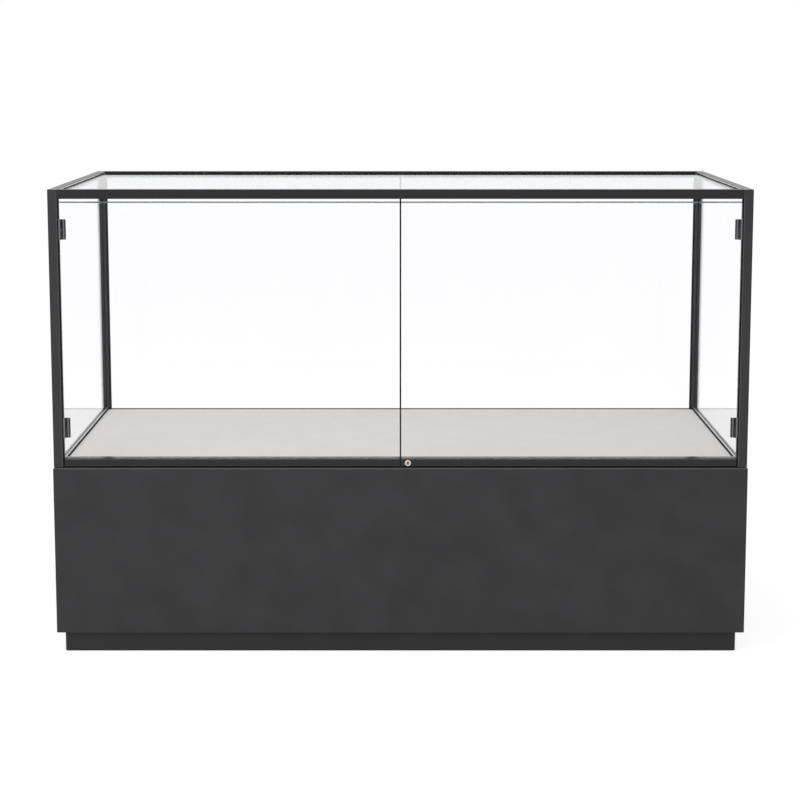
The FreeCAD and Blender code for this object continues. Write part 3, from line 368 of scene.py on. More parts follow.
def coat(name, rgb, roughness, specular, peel=0.6 * MM, depth=0.005 * MM, swing=0.05,
         cloud=160 * MM, painted_highlight=None, highlight_rgb=None):
    """Paint or powder coat: faintly clouded, with a fine peel and, where given, worn edges."""
    finish, tree, shader, place = new_finish(name)
    clouds = spread(tree, noise(tree, place, cloud, detail=6.0))
    grain = noise(tree, place, peel, detail=2.0)
    paint = blend(tree, clouds, tone(rgb, 1 - swing), tone(rgb, 1 + swing))
    if painted_highlight:
        # Colour of the painted highlight: the given highlight colour, else the paint made lighter
        under = tone(rgb, PAINTED_HIGHLIGHT_TONE) if highlight_rgb is None else tone(highlight_rgb)
        paint = blend(tree, painted_highlight(tree, place), paint, under)
    feed(tree, shader, {
        "Base Color": paint,
        "Roughness": spread(tree, grain, roughness - GLOSS_SWING, roughness + GLOSS_SWING),
        "Normal": bump(tree, grain, depth),
        "Specular IOR Level": specular})
    return finish


def rubber(name, rgb):
    """Extruded rubber: dull, with a fine grain and a bloom of dust."""
    finish, tree, shader, place = new_finish(name)
    bloom = spread(tree, noise(tree, place, 20 * MM, detail=4.0))
    grain = noise(tree, place, 0.4 * MM)
    feed(tree, shader, {
        "Base Color": blend(tree, bloom, tone(rgb, 0.85), tone(rgb, 1.25)),
        "Roughness": spread(tree, bloom, 0.78, 0.9),
        "Normal": bump(tree, grain, depth=0.03 * MM),
        "Specular IOR Level": 0.06})
    return finish


def moulded(name, rgb):
    """Moulded plastic with a fine eroded texture."""
    finish, tree, shader, place = new_finish(name)
    grain = noise(tree, place, 0.5 * MM)
    feed(tree, shader, {
        "Base Color": blend(tree, grain, tone(rgb, 0.9), tone(rgb, 1.1)),
        "Roughness": spread(tree, grain, 0.42, 0.52),
        "Normal": bump(tree, grain, depth=0.02 * MM),
        "Specular IOR Level": 0.35})
    return finish


def plated(name, rgb):
    """Zinc plated steel: cloudy passivation over fine drawn scratches."""
    finish, tree, shader, place = new_finish(name)
    clouds = spread(tree, noise(tree, place, 6 * MM, detail=5.0))
    scratches = noise(tree, stretched(tree, place, (1.0, 1.0, 0.04)), 0.25 * MM, detail=2.0)
    warm = tinted(rgb, (0.86, 0.84, 0.78))
    feed(tree, shader, {
        "Base Color": blend(tree, clouds, warm, tone(rgb)),
        "Roughness": spread(tree, scratches, 0.26, 0.42),
        "Normal": bump(tree, scratches, depth=0.01 * MM),
        "Metallic": 1.0})
    return finish


def turned_metal(name, rgb, middle):
    """Satin nickel turned on a lathe: fine rings about the lock's axis."""
    finish, tree, shader, place = new_finish(name)
    moved = add_node(tree, "ShaderNodeVectorMath", {0: place, 1: middle}, operation="SUBTRACT").outputs[0]
    front = add_node(tree, "ShaderNodeMapping",
                     {"Vector": moved, "Rotation": (math.radians(90), 0, 0)}).outputs["Vector"]
    rings = add_node(tree, "ShaderNodeTexWave",
                     {"Vector": front, "Scale": 1.0 / (3 * MM), "Distortion": 0.6, "Detail": 2.0},
                     wave_type="RINGS", rings_direction="Z").outputs["Fac"]
    tarnish = spread(tree, noise(tree, place, 2 * MM, detail=4.0))
    feed(tree, shader, {
        "Base Color": blend(tree, tarnish, tone(rgb, 0.9), tone(rgb)),
        "Roughness": spread(tree, rings, 0.28, 0.4, start=0.0, end=1.0),
        "Normal": bump(tree, rings, depth=0.004 * MM),
        "Metallic": 1.0})
    return finish


def particle_board(name, rgb):
    """Raw particle board: pressed flakes of several browns."""
    finish, tree, shader, place = new_finish(name)
    flakes = add_node(tree, "ShaderNodeTexVoronoi",
                      {"Vector": stretched(tree, place, (1.0, 0.45, 1.0)), "Scale": 1.0 / (3 * MM)})
    flake_tone = add_node(tree, "ShaderNodeSeparateColor", {"Color": flakes.outputs["Color"]}).outputs[0]
    fibre = noise(tree, place, 0.8 * MM, detail=4.0)
    brown = blend(tree, flake_tone, tone(rgb, 0.72), tone(rgb, 1.12))
    feed(tree, shader, {
        "Base Color": blend(tree, spread(tree, fibre, high=0.5), brown, tone(rgb, 0.6)),
        "Roughness": 0.85,
        "Normal": bump(tree, fibre, depth=0.1 * MM),
        "Specular IOR Level": 0.2})
    return finish


def woven(name, rgb, thread):
    """Plain woven cloth, glued flat: crossing threads, slubs and a soft mottling."""
    finish, tree, shader, place = new_finish(name)
    waves = math.tau / (WAVE_PACE * 2 * thread)
    warp, weft = (add_node(tree, "ShaderNodeTexWave",
                           {"Vector": place, "Scale": waves, "Distortion": 0.5, "Detail": 1.0},
                           wave_type="BANDS", bands_direction=way).outputs["Fac"] for way in "XY")
    weave = reckon(tree, "ADD", warp, weft)
    slubs = noise(tree, stretched(tree, place, (0.06, 1.0, 1.0)), 1.4 * MM)
    mottle = reckon(tree, "ADD", noise(tree, place, 50 * MM, detail=5.0),
                    noise(tree, place, 12 * MM, detail=2.0))
    threads = blend(tree, spread(tree, weave, start=0.2, end=1.8), tone(rgb, 0.94), tone(rgb, 1.035))
    cool = tinted(rgb, (0.91, 0.93, 0.92))
    clouds = blend(tree, spread(tree, mottle, start=0.75, end=1.25), cool, tone(rgb, 1.05))
    streaks = blend(tree, spread(tree, slubs), tone(rgb, 0.97), tone(rgb, 1.02))
    feed(tree, shader, {
        "Base Color": blend(tree, 0.4, blend(tree, 0.5, threads, clouds), streaks),
        "Roughness": 0.92,
        "Normal": bump(tree, weave, depth=0.12 * MM, strength=0.5),
        "Specular IOR Level": 0.12,
        "Sheen Weight": 0.08})
    return finish


def glass(name, rgb, lamplight, bending, roughness=0.0, smear=0.006):
    """Glass with faint smears, which passes the lamps' light in a tint of its own."""
    finish, tree, shader, place = new_finish(name)
    wiped = spread(tree, noise(tree, stretched(tree, place, (1.0, 1.0, 0.35)), 120 * MM, detail=4.0))
    feed(tree, shader, {
        "Base Color": blend(tree, wiped, tone(rgb, 1.0 - smear), tone(rgb)),
        "Roughness": roughness,
        "IOR": bending,
        "Transmission Weight": 1.0})
    path = tree.nodes.new("ShaderNodeLightPath").outputs
    passing = reckon(tree, "MAXIMUM", path["Is Shadow Ray"], path["Is Diffuse Ray"])
    through = add_node(tree, "ShaderNodeBsdfTransparent", {"Color": tone(lamplight, 0.99)}).outputs[0]
    show(tree, "Material Output", passing, shader.outputs[0], through)
    return finish


def finished(piece, *finishes):
    """A piece with its finishes, the first all over."""
    piece.data.materials.clear()
    for finish in finishes:
        piece.data.materials.append(finish)
    return piece


def dress(names, finish):
    """Gives carried-over pieces one finish."""
    for name in names:
        finished(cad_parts[name], finish)


# Modelling helpers

def deselect():
    """Leaves nothing selected, in object mode."""
    if bpy.context.mode != "OBJECT":
        bpy.ops.object.mode_set(mode="OBJECT")
    bpy.ops.object.select_all(action="DESELECT")


def only(piece):
    """Selects one piece and makes it active."""
    deselect()
    piece.select_set(True)
    bpy.context.view_layer.objects.active = piece


def named(piece, name):
    """Puts a piece's place in its mesh and names it."""
    piece.name = name
    piece.data.name = name
    only(piece)
    bpy.ops.object.transform_apply(location=True, rotation=True, scale=True)
    return piece


def linked(name, data):
    """A new object in the scene: a piece, a lamp or a camera."""
    thing = bpy.data.objects.new(name, data)
    bpy.context.scene.collection.objects.link(thing)
    return thing


def block(name, first, last):
    """A block between two opposite corners."""
    low, high = (Vector(map(pick, first, last)) for pick in (min, max))
    deselect()
    bpy.ops.mesh.primitive_cube_add(size=1.0, location=(low + high) / 2)
    piece = bpy.context.active_object
    piece.scale = high - low
    return named(piece, name)


def anything(element):
    """Any edge or face."""
    return True


def choose(piece, kind="FACE", wanted=anything):
    """Opens a piece in edit mode with only the wanted edges or faces selected."""
    only(piece)
    bpy.ops.object.mode_set(mode="EDIT")
    bpy.ops.mesh.select_mode(type=kind)
    bpy.ops.mesh.select_all(action="DESELECT")
    mesh = bmesh.from_edit_mesh(piece.data)
    for element in mesh.edges if kind == "EDGE" else mesh.faces:
        element.select_set(bool(wanted(element)))
    mesh.select_flush_mode()
    bmesh.update_edit_mesh(piece.data)


def edit(piece, change, kind="FACE", wanted=anything, **how):
    """Changes a piece's wanted edges or faces by an operator."""
    choose(piece, kind, wanted)
    change(**how)
    bpy.ops.object.mode_set(mode="OBJECT")


def bevel(piece, wanted, width, segments):
    """Bevels or rounds the wanted edges."""
    edit(piece, bpy.ops.mesh.bevel, "EDGE", wanted,
         offset=width, segments=segments, profile=0.5, affect="EDGES")


def bevel_along(piece, planes, width, segments):
    """Bevels or rounds the edges that lie in all the planes, each an axis and a level."""
    bevel(piece, lambda edge: all(in_plane(edge, *plane) for plane in planes), width, segments)
    return piece


def finish_faces(piece, wanted, index):
    """Gives the wanted faces one of the piece's finishes."""
    piece.active_material_index = index
    edit(piece, bpy.ops.object.material_slot_assign, wanted=wanted)


def modify(piece, kind, **choices):
    """Adds a modifier to a piece and applies it."""
    only(piece)
    modifier = piece.modifiers.new(kind.lower(), kind)
    for name, choice in choices.items():
        setattr(modifier, name, choice)
    bpy.ops.object.modifier_apply(modifier=modifier.name)


def combine(piece, other, operation="DIFFERENCE"):
    """Cuts another shape out of a piece, or joins it on."""
    modify(piece, "BOOLEAN", operation=operation, object=other)
    bpy.data.objects.remove(other, do_unlink=True)


def soften(piece, width, segments):
    """Rounds every sharp edge of a piece."""
    modify(piece, "BEVEL", width=width, segments=segments, limit_method="ANGLE", angle_limit=SMOOTH_ANGLE)


def merge(piece):
    """Merges doubles and points the faces outwards."""
    edit(piece, bpy.ops.mesh.remove_doubles, threshold=DOUBLES)
    edit(piece, bpy.ops.mesh.normals_make_consistent, inside=False)


def close_up(piece):
    """Merges a piece and smooths its round faces."""
    merge(piece)
    only(piece)
    bpy.ops.object.shade_smooth_by_angle(angle=SMOOTH_ANGLE)
    modify(piece, "WEIGHTED_NORMAL", weight=100, keep_sharp=True)
    return piece


def turned(name, rings, sides=ROUND_SIDES):
    """A closed shape turned about +Z, given by rings of (radius, height)."""
    deselect()
    radius, height = rings[0]
    bpy.ops.mesh.primitive_circle_add(vertices=sides, radius=radius, fill_type="NGON",
                                      location=(0, 0, height))
    piece = named(bpy.context.active_object, name)
    choose(piece, "EDGE")
    for wider, higher in rings[1:]:
        bpy.ops.mesh.extrude_region_move(TRANSFORM_OT_translate={"value": (0, 0, higher - height)})
        ratio = wider / radius
        bpy.ops.transform.resize(value=(ratio, ratio, 1.0), center_override=(0, 0, higher))
        radius, height = wider, higher
    return close_up(piece)


def quarter_round(across, up, steps):
    """Places on a quarter of an oval, at angles in degrees from its side to its top."""
    angles = [math.radians(step) for step in steps]
    return [(across * math.cos(angle), up * math.sin(angle)) for angle in angles]


def stand(piece, way, foot):
    """Turns a piece from +Z to another way and moves it to its foot."""
    piece.rotation_euler = Z_AXIS.rotation_difference(way).to_euler()
    piece.location = foot
    return named(piece, piece.name)


def joined(name, pieces):
    """Several like pieces as one."""
    deselect()
    for piece in pieces:
        piece.select_set(True)
    bpy.context.view_layer.objects.active = pieces[0]
    bpy.ops.object.join()
    return named(pieces[0], name)


def repeated(name, model, boxes):
    """A model in the first of several boxes, copied to the others, all as one."""
    pieces = [model]
    for low, high in boxes[1:]:
        twin = linked(name, model.data.copy())
        twin.location = low - boxes[0][0]
        pieces.append(named(twin, name))
    return joined(name, pieces)


def merged_copy(name, node):
    """A merged copy of a carried-over piece."""
    piece = linked(name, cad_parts[node].data.copy())
    choose(piece)
    bpy.ops.mesh.remove_doubles(threshold=DOUBLES)
    bpy.ops.mesh.dissolve_limited(angle_limit=FLAT_ANGLE)
    return named(piece, name)


def points(node):
    """The corners of a carried-over piece."""
    return [vertex.co.copy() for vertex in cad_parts[node].data.vertices]


def around(places):
    """The lowest and highest corner of a box round several places."""
    return tuple(Vector(pick(place[axis] for place in places) for axis in range(3)) for pick in (min, max))


def solids(node):
    """The boxes of the separate solids in a carried-over piece."""
    mesh = bmesh.new()
    mesh.from_mesh(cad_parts[node].data)
    bmesh.ops.remove_doubles(mesh, verts=mesh.verts, dist=DOUBLES)
    left = set(mesh.verts)
    boxes = []
    while left:
        reached = [left.pop()]
        places = []
        while reached:
            vertex = reached.pop()
            places.append(vertex.co.copy())
            near = {edge.other_vert(vertex) for edge in vertex.link_edges} & left
            left -= near
            reached.extend(near)
        boxes.append(around(places))
    mesh.free()
    return sorted(boxes, key=lambda box: tuple(box[0]))


def in_plane(edge, axis, level):
    """Whether an edge lies in a plane across an axis."""
    return all(abs(vertex.co[axis] - level) < NEAR for vertex in edge.verts)


def runs(edge, axis):
    """Whether an edge leads from one place on an axis to another."""
    return abs(edge.verts[0].co[axis] - edge.verts[1].co[axis]) > NEAR


def inner(box):
    """Where a box ends on the X axis, towards the middle of the case."""
    return min(box[0].x, box[1].x, key=abs)


def outer(box):
    """Where a box ends on the X axis, away from the middle of the case."""
    return max(box[0].x, box[1].x, key=abs)


def inwards(x, distance):
    """A place on the X axis, moved towards the middle of the case."""
    return x - math.copysign(1, x) * distance


def side_strip(name, rail, across, up, planes, width, segments):
    """A strip along a side rail, between two places across it and two heights, with rounded edges."""
    room = settings().sizes.glass_room
    piece = block(name, (across[0], rail[0].y + room, up[0]), (across[1], rail[1].y - room, up[1]))
    return bevel_along(piece, planes, width, segments)


def fit(piece, body="case", node=None):
    """Names a piece's slot, its body and the carried-over piece that it stands for."""
    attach(piece, body)
    if node:
        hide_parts(node)


# Pieces

class CASE_OT_base(bpy.types.Operator):
    """Paints the base panels and leaves the inner boards raw"""
    bl_idname = "display_case.base"
    bl_label = "Finish the base"

    def execute(self, context):
        colours = settings().finishes
        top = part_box("base_front")[1].z
        # Painted highlight: a lighter band along the panels' top edge, where the rounded edge catches the
        # light
        painted_highlight = partial(highlighted, limits=[("Z", *(top - depth for depth in PANEL_HIGHLIGHT))])
        dress(BASE_PANELS, coat("base_paint", colours.base, roughness=0.34, specular=0.2, peel=0.9 * MM,
                                depth=0.012 * MM, swing=0.09, cloud=90 * MM, painted_highlight=painted_highlight))
        dress(BASE_BOARDS, particle_board("inner_board", colours.board))
        return {"FINISHED"}


class CASE_OT_plinth(bpy.types.Operator):
    """Paints the recessed plinth"""
    bl_idname = "display_case.plinth"
    bl_label = "Finish the plinth"

    def execute(self, context):
        dress(PLINTH_RAILS, coat("plinth_paint", settings().finishes.plinth, roughness=0.48, specular=0.2,
                                 peel=0.9 * MM, depth=0.02 * MM))
        return {"FINISHED"}


class CASE_OT_bars(bpy.types.Operator):
    """Coats the posts, rails and sill and finishes their feet and caps"""
    bl_idname = "display_case.bars"
    bl_label = "Finish the hood's bars"

    def execute(self, context):
        colours = settings().finishes
        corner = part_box("right_front_post")[0]
        # Painted highlight: a lighter line along the posts' inner front edges
        painted_highlight = partial(highlighted, limits=[("X", *(corner.x + depth for depth in POST_HIGHLIGHT_ACROSS)),
                                       ("Y", *(-corner.y - depth for depth in POST_HIGHLIGHT_ALONG))])
        # The posts' coat is a lighter copy of the frame's black: painted reflection on their fronts
        dress(POSTS, coat("post_coat_painted_lighter", colours.posts, roughness=0.24, specular=0.15, painted_highlight=painted_highlight))
        dress(TOP_RAILS, coat("top_rail_coat", colours.top_rails, roughness=0.3, specular=0.14))
        dress(FLOOR_RAILS, coat("floor_rail_coat", colours.floor_rails, roughness=0.3, specular=0.12))
        dress(LOW_RAILS, coat("low_rail_coat", colours.low_rails, roughness=0.16, specular=0.35,
                              depth=0.001 * MM))
        dress(PLASTICS, moulded("black_plastic", colours.plastic))
        return {"FINISHED"}


def highlight_bead(side):
    """A thin bead on a side floor rail, between its wall and the pane."""
    sizes = settings().sizes
    rail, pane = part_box(side + "_floor_rail"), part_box(side + "_glass")
    room = sizes.glass_room
    across = (inwards(inner(pane), room), inwards(inner(rail), -room))
    top = rail[1].z + sizes.highlight_bead
    return side_strip(side + "_highlight_bead", rail, across, (rail[1].z, top),
                      [(Z, top)], sizes.highlight_bead * BEAD_ROUND_SHARE, segments=3)


def highlight_strip(side):
    """A thin strip on a side top rail's inner wall, over the top pane."""
    sizes = settings().sizes
    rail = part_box(side + "_top_rail")
    wall = inner(rail)
    face = inwards(wall, sizes.strip_thick)
    top = rail[1].z - sizes.strip_drop
    return side_strip(side + "_highlight_strip", rail, (wall, face), (top - sizes.highlight_strip, top),
                      [(X, face)], sizes.strip_thick * STRIP_ROUND_SHARE, segments=2)


class CASE_OT_fixings(bpy.types.Operator):
    """Plates the fixings and models the bright strips beside the panes"""
    bl_idname = "display_case.fixings"
    bl_label = "Finish the fixings"

    def execute(self, context):
        colours = settings().finishes
        dress(STEELS, plated("zinc_steel", colours.steel))
        # Polished finish of the strips beside the panes: a painted highlight line along each
        polished = plated("polished_highlight_bead", colours.bright)
        for side in SIDES:
            for piece in (highlight_bead(side), highlight_strip(side)):
                finished(close_up(piece), polished)
                fit(piece)
        return {"FINISHED"}


def lipped_strip():
    """The left door's meeting strip, with a soft lip behind the right door's."""
    sizes = settings().sizes
    low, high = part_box("left_meeting_seal")
    lip = high.y + sizes.lip_room
    piece = block("left_lipped_strip", low, (high.x, lip + sizes.lip, high.z))
    edit(piece, bpy.ops.mesh.bisect, plane_co=(0, lip, 0), plane_no=Y_AXIS)
    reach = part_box("right_meeting_seal")[1].x - sizes.lip - high.x
    edit(piece, bpy.ops.mesh.extrude_region_move,
         wanted=lambda face: face.normal.x > FACING and face.calc_center_median().y > lip,
         TRANSFORM_OT_translate={"value": (reach, 0, 0)})
    return piece


def deck_shadow_bead(side):
    """A rounded bead in the corner between the deck and a side floor rail."""
    sizes = settings().sizes
    deck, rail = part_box("deck_board"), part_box(side + "_floor_rail")
    wall = inner(rail)
    edge = inwards(wall, sizes.bead)
    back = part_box(side + "_back_post")[0].y - sizes.glass_room
    top = rail[1].z - sizes.bead / 2
    piece = block(side + "_deck_shadow_bead", (wall, deck[0].y, deck[1].z + sizes.glass_room), (edge, back, top))
    return bevel_along(piece, [(X, edge), (Z, top)], sizes.bead * RUBBER_ROUND_SHARE, segments=4)


def pane_wedge(side):
    """A rounded wedge on a side floor rail, pressed against the pane from outside."""
    sizes = settings().sizes
    rail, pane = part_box(side + "_floor_rail"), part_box(side + "_glass")
    near = inwards(outer(pane), -sizes.glass_room)
    far = inwards(near, -sizes.wedge)
    top = rail[1].z + sizes.wedge_height
    return side_strip(side + "_pane_wedge", rail, (near, far), (rail[1].z, top),
                      [(X, far), (Z, top)], sizes.wedge_height * RUBBER_ROUND_SHARE, segments=4)


class CASE_OT_seals(bpy.types.Operator):
    """Finishes the seals and models the lipped strip and the rubber at the side rails"""
    bl_idname = "display_case.seals"
    bl_label = "Fit the seals"

    def execute(self, context):
        black = rubber("black_rubber", settings().finishes.rubber)
        dress(SEALS, black)
        strip = finished(close_up(lipped_strip()), black)
        fit(strip, "left_door", "left_meeting_seal")
        # The deck beads are black rubber put in the shadow gap between deck and rail: painted shadow
        for make in (deck_shadow_bead, pane_wedge):
            for side in SIDES:
                fit(finished(close_up(make(side)), black))
        return {"FINISHED"}


def ground_pane(node, low, high, axis):
    """A pane with ground edges, its corners dubbed as in the frame."""
    sizes = settings().sizes
    piece = block(node.replace("glass", "pane"), low, high)
    if node == "top_glass":
        side = max(point.y for point in points(node) if point.x > high.x)
        bevel(piece, lambda edge: runs(edge, Z), high.y - side, segments=1)
    ground_top = high.z + NEAR
    if node in DOOR_PANES:
        bevel(piece, lambda edge: in_plane(edge, Z, high.z) and runs(edge, X), sizes.pencil, segments=8)
        ground_top = high.z - sizes.pencil - NEAR

    def captive(edge):
        on_face = any(in_plane(edge, axis, corner[axis]) for corner in (low, high))
        return on_face and sum(vertex.co.z for vertex in edge.verts) / 2 < ground_top
    bevel(piece, captive, sizes.arris, segments=2)
    return piece


def lock_notch(piece, node):
    """The notch in the pane's lower edge, where the lock passes."""
    low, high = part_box(node)
    inside = [point for point in points(node) if low.z + NEAR < point.z < (low.z + high.z) / 2]
    over = high.y - low.y
    first, last = around(inside)
    combine(piece, block("lock_notch", (first.x, low.y - over, low.z - over),
                         (last.x, high.y + over, last.z)))


class CASE_OT_glazing(bpy.types.Operator):
    """Models the panes with their ground and rounded edges"""
    bl_idname = "display_case.glazing"
    bl_label = "Glaze the hood and the doors"

    def execute(self, context):
        colours = settings().finishes
        clear = glass("clear_glass", colours.glass, colours.glass, COATED_BENDING)
        # The top pane's darker tint is painted shade; its lamplight keeps the upright panes' tint
        cool = glass("top_glass_painted_shade", colours.top_glass, colours.glass, TOP_BENDING)
        edges = {name: glass(name, rgb, rgb, BARE_BENDING, EDGE_ROUGHNESS, EDGE_SMEAR)
                 for name, rgb in (("door_edge", colours.door_edge), ("pane_edge", colours.pane_edge))}
        room = Vector((settings().sizes.glass_room,) * 3)
        for node in (*FIXED_PANES, *DOOR_PANES):
            low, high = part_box(node)
            size = high - low
            axis = min(range(3), key=lambda way: size[way])
            piece = ground_pane(node, low + room, high - room, axis)
            if node == "right_door_glass":
                lock_notch(piece, node)
            finished(piece, cool if node == "top_glass" else clear,
                     edges["door_edge" if node in DOOR_PANES else "pane_edge"])
            merge(piece)
            finish_faces(piece, lambda face: abs(face.normal[axis]) < FACING, 1)
            fit(piece, DOOR_PANES.get(node, "case"), node)
        return {"FINISHED"}


class CASE_OT_deck(bpy.types.Operator):
    """Models the deck board with the cloth turned over its edges"""
    bl_idname = "display_case.deck"
    bl_label = "Cover the deck"

    def execute(self, context):
        sizes = settings().sizes
        low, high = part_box("deck_board")
        under = [point for point in points("deck_board") if point.z < low.z + NEAR]
        side = max(point.y for point in under if point.x > high.x - NEAR)
        back = max(point.x for point in under if point.y > high.y - NEAR)
        over = high.z - low.z
        piece = block("covered_deck", low, high)
        for mirror in (1, -1):
            combine(piece, block("post_notch", (mirror * back, side, low.z - over),
                                 (mirror * (high.x + over), high.y + over, high.z + over)))
        soften(piece, sizes.cloth_round, segments=4)
        finished(close_up(piece), woven("deck_cloth", settings().finishes.deck, sizes.thread))
        fit(piece, node="deck_board")
        return {"FINISHED"}


def hinge_pins():
    """Pins with domed ends, one in each hinge."""
    boxes = solids("hinge_pins")
    low, high = boxes[0]
    radius = (high.x - low.x) / 2
    rise = radius * DOME_SHARE
    dome = quarter_round(radius, rise, DOME_STEPS)
    rings = [(wide, rise - up) for wide, up in reversed(dome)]
    rings += [(wide, high.z - low.z - rise + up) for wide, up in dome]
    middle = (low + high) / 2
    pin = stand(turned("hinge_pin", rings, sides=40), Z_AXIS, (middle.x, middle.y, low.z))
    return repeated("hinge_pin_set", pin, boxes)


def hinge_screw(low, high):
    """A countersunk screw with a six-sided socket, its head inwards."""
    head, whole = (high.y - low.y) / 2, high.x - low.x
    shank = head * HEAD_SHARES[0][0]
    rings = [(shank * TIP_SHARE, 0.0), (shank, shank)]
    rings += [(head * wide, whole - head * deep) for wide, deep in HEAD_SHARES]
    piece = turned("hinge_screw", rings, sides=32)
    corner = settings().sizes.socket / math.sqrt(3)
    bottom = whole - head * SOCKET_SHARE
    combine(piece, turned("socket", [(corner, bottom), (corner, whole + head)], sides=6))
    middle = (low + high) / 2
    way = X_AXIS * math.copysign(1, -middle.x)
    return stand(piece, way, middle - way * whole / 2)


def hinge_screws():
    """The screws of both sides, each side's modelled once and copied."""
    boxes = solids("hinge_screws")
    sides = ([box for box in boxes if box[0].x < 0], [box for box in boxes if box[0].x > 0])
    sets = [repeated("hinge_screw", hinge_screw(*side[0]), side) for side in sides]
    return joined("hinge_screw_set", sets)


class CASE_OT_hinges(bpy.types.Operator):
    """Eases the hinge leaves' edges and models their pins and socket screws"""
    bl_idname = "display_case.hinges"
    bl_label = "Fit the hinges"

    def execute(self, context):
        colours, sizes = settings().finishes, settings().sizes
        low, high = solids("hinge_pins")[-1]
        knuckle = (low.x + high.x) / 2
        low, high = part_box("right_hinge_leaves")
        plate = low.x + (high.x - low.x) * PLATE_CREST_SHARE
        # Painted highlights: lighter bands along each knuckle's crown and each plate, where a glossy hinge
        # catches light
        black = coat("hinge_black", colours.hinges, roughness=0.2, specular=0.25, peel=0.5 * MM,
                     depth=0.004 * MM, highlight_rgb=colours.crests,
                     painted_highlight=partial(crest_highlights, bands=(knuckle, plate), half=sizes.crest))
        dress(("bolt_guide",), black)
        for node, body in HINGE_LEAVES.items():
            piece = merged_copy(node.replace("leaves", "pair"), node)
            soften(piece, sizes.hinge_ease, segments=2)
            fit(finished(close_up(piece), black), body, node)
        steel = plated("hinge_steel", colours.steel)
        for piece, node in ((hinge_screws(), "hinge_screws"), (hinge_pins(), "hinge_pins")):
            fit(finished(close_up(piece), steel), node=node)
        return {"FINISHED"}


def turned_tube(name, rings, foot):
    """A turned tube that faces the front, its last ring joined to its first."""
    piece = turned(name, rings)
    choose(piece, "FACE", lambda face: len(face.verts) > 4)
    bpy.ops.mesh.delete(type="ONLY_FACE")
    bpy.ops.mesh.select_mode(type="EDGE")
    bpy.ops.mesh.select_all(action="DESELECT")
    bpy.ops.mesh.select_non_manifold()
    bpy.ops.mesh.bridge_edge_loops()
    return stand(close_up(piece), -Y_AXIS, foot)


def off_axis(place, axis):
    """How far a place lies from the lock's axis."""
    return math.hypot(place.x - axis.x, place.z - axis.z)


def lock_rose(axis, face, rim):
    """Housing: a rounded rose on the rail's face and a tube through the rail."""
    sizes = settings().sizes
    low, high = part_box("lock_body")
    reach = [off_axis(point, axis) for point in points("lock_body") if point.y > face + NEAR]
    tube, bore = max(reach), min(reach)
    seat, front = high.y - face, high.y - low.y
    turn, lip = sizes.rose_round, sizes.rose_lip
    # Angle on the rounding where the black painted-shadow border starts
    border = math.degrees(math.acos(max(0.0, 1 - sizes.rose_shadow_rim / turn)))
    rings = [(tube, 0.0), (tube, seat), (rim, seat)]
    rings += [(rim - turn + wide, front - turn + up)
              for wide, up in quarter_round(turn, turn, (0, 15, 30, 45, 60, border, 90))]
    rings += [(bore + lip, front), (bore, front - lip), (bore, 0.0)]
    return turned_tube("lock_rose", rings, (axis.x, high.y, axis.z))


def lock_shadow_washer(axis, face, rim):
    """Thin washer round the rose, on the rail's face."""
    sizes = settings().sizes
    inside = rim + sizes.glass_room
    outside = inside + sizes.washer
    thick = sizes.washer_thick
    rings = [(inside, 0.0), (outside, 0.0), (outside, thick / 2),
             (outside - thick / 2, thick), (inside, thick)]
    return turned_tube("lock_shadow_washer", rings, (axis.x, face, axis.z))


def lock_plug(axis):
    """Turning plug: a bevelled face with an oval keyhole, and the square tail for the cam."""
    sizes = settings().sizes
    low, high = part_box("lock_cylinder")
    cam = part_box("lock_cam")[0].y
    radius, tall = (high.x - low.x) / 2, cam - low.y
    rings = [(radius, 0.0), (radius, tall - sizes.rose_lip), (radius - sizes.rose_lip, tall)]
    plug = stand(turned("lock_face", rings), -Y_AXIS, (axis.x, cam, axis.z))
    half = max(point.x for point in points("lock_cylinder") if point.y > cam + NEAR) - axis.x
    tail = block("tail", (axis.x - half, cam - half, axis.z - half),
                 (axis.x + half, high.y, axis.z + half))
    bevel_along(tail, [(Y, high.y)], half * TAIL_BEVEL_SHARE, segments=1)
    oval = turned("oval", [(0.5, 0.0), (0.5, 1.0)], sides=48)
    oval.scale = (sizes.keyhole_width, sizes.keyhole_height, 2 * sizes.keyhole_depth)
    oval = stand(oval, -Y_AXIS, (axis.x, low.y + sizes.keyhole_depth, axis.z))
    first, last = around([p for p in points("lock_cylinder") if low.y + NEAR < p.y < cam - NEAR])
    slot = block("slot", (first.x, low.y - sizes.keyhole_depth, first.z), last)
    combine(plug, tail, "UNION")
    combine(plug, oval)
    combine(plug, slot)
    return close_up(plug)


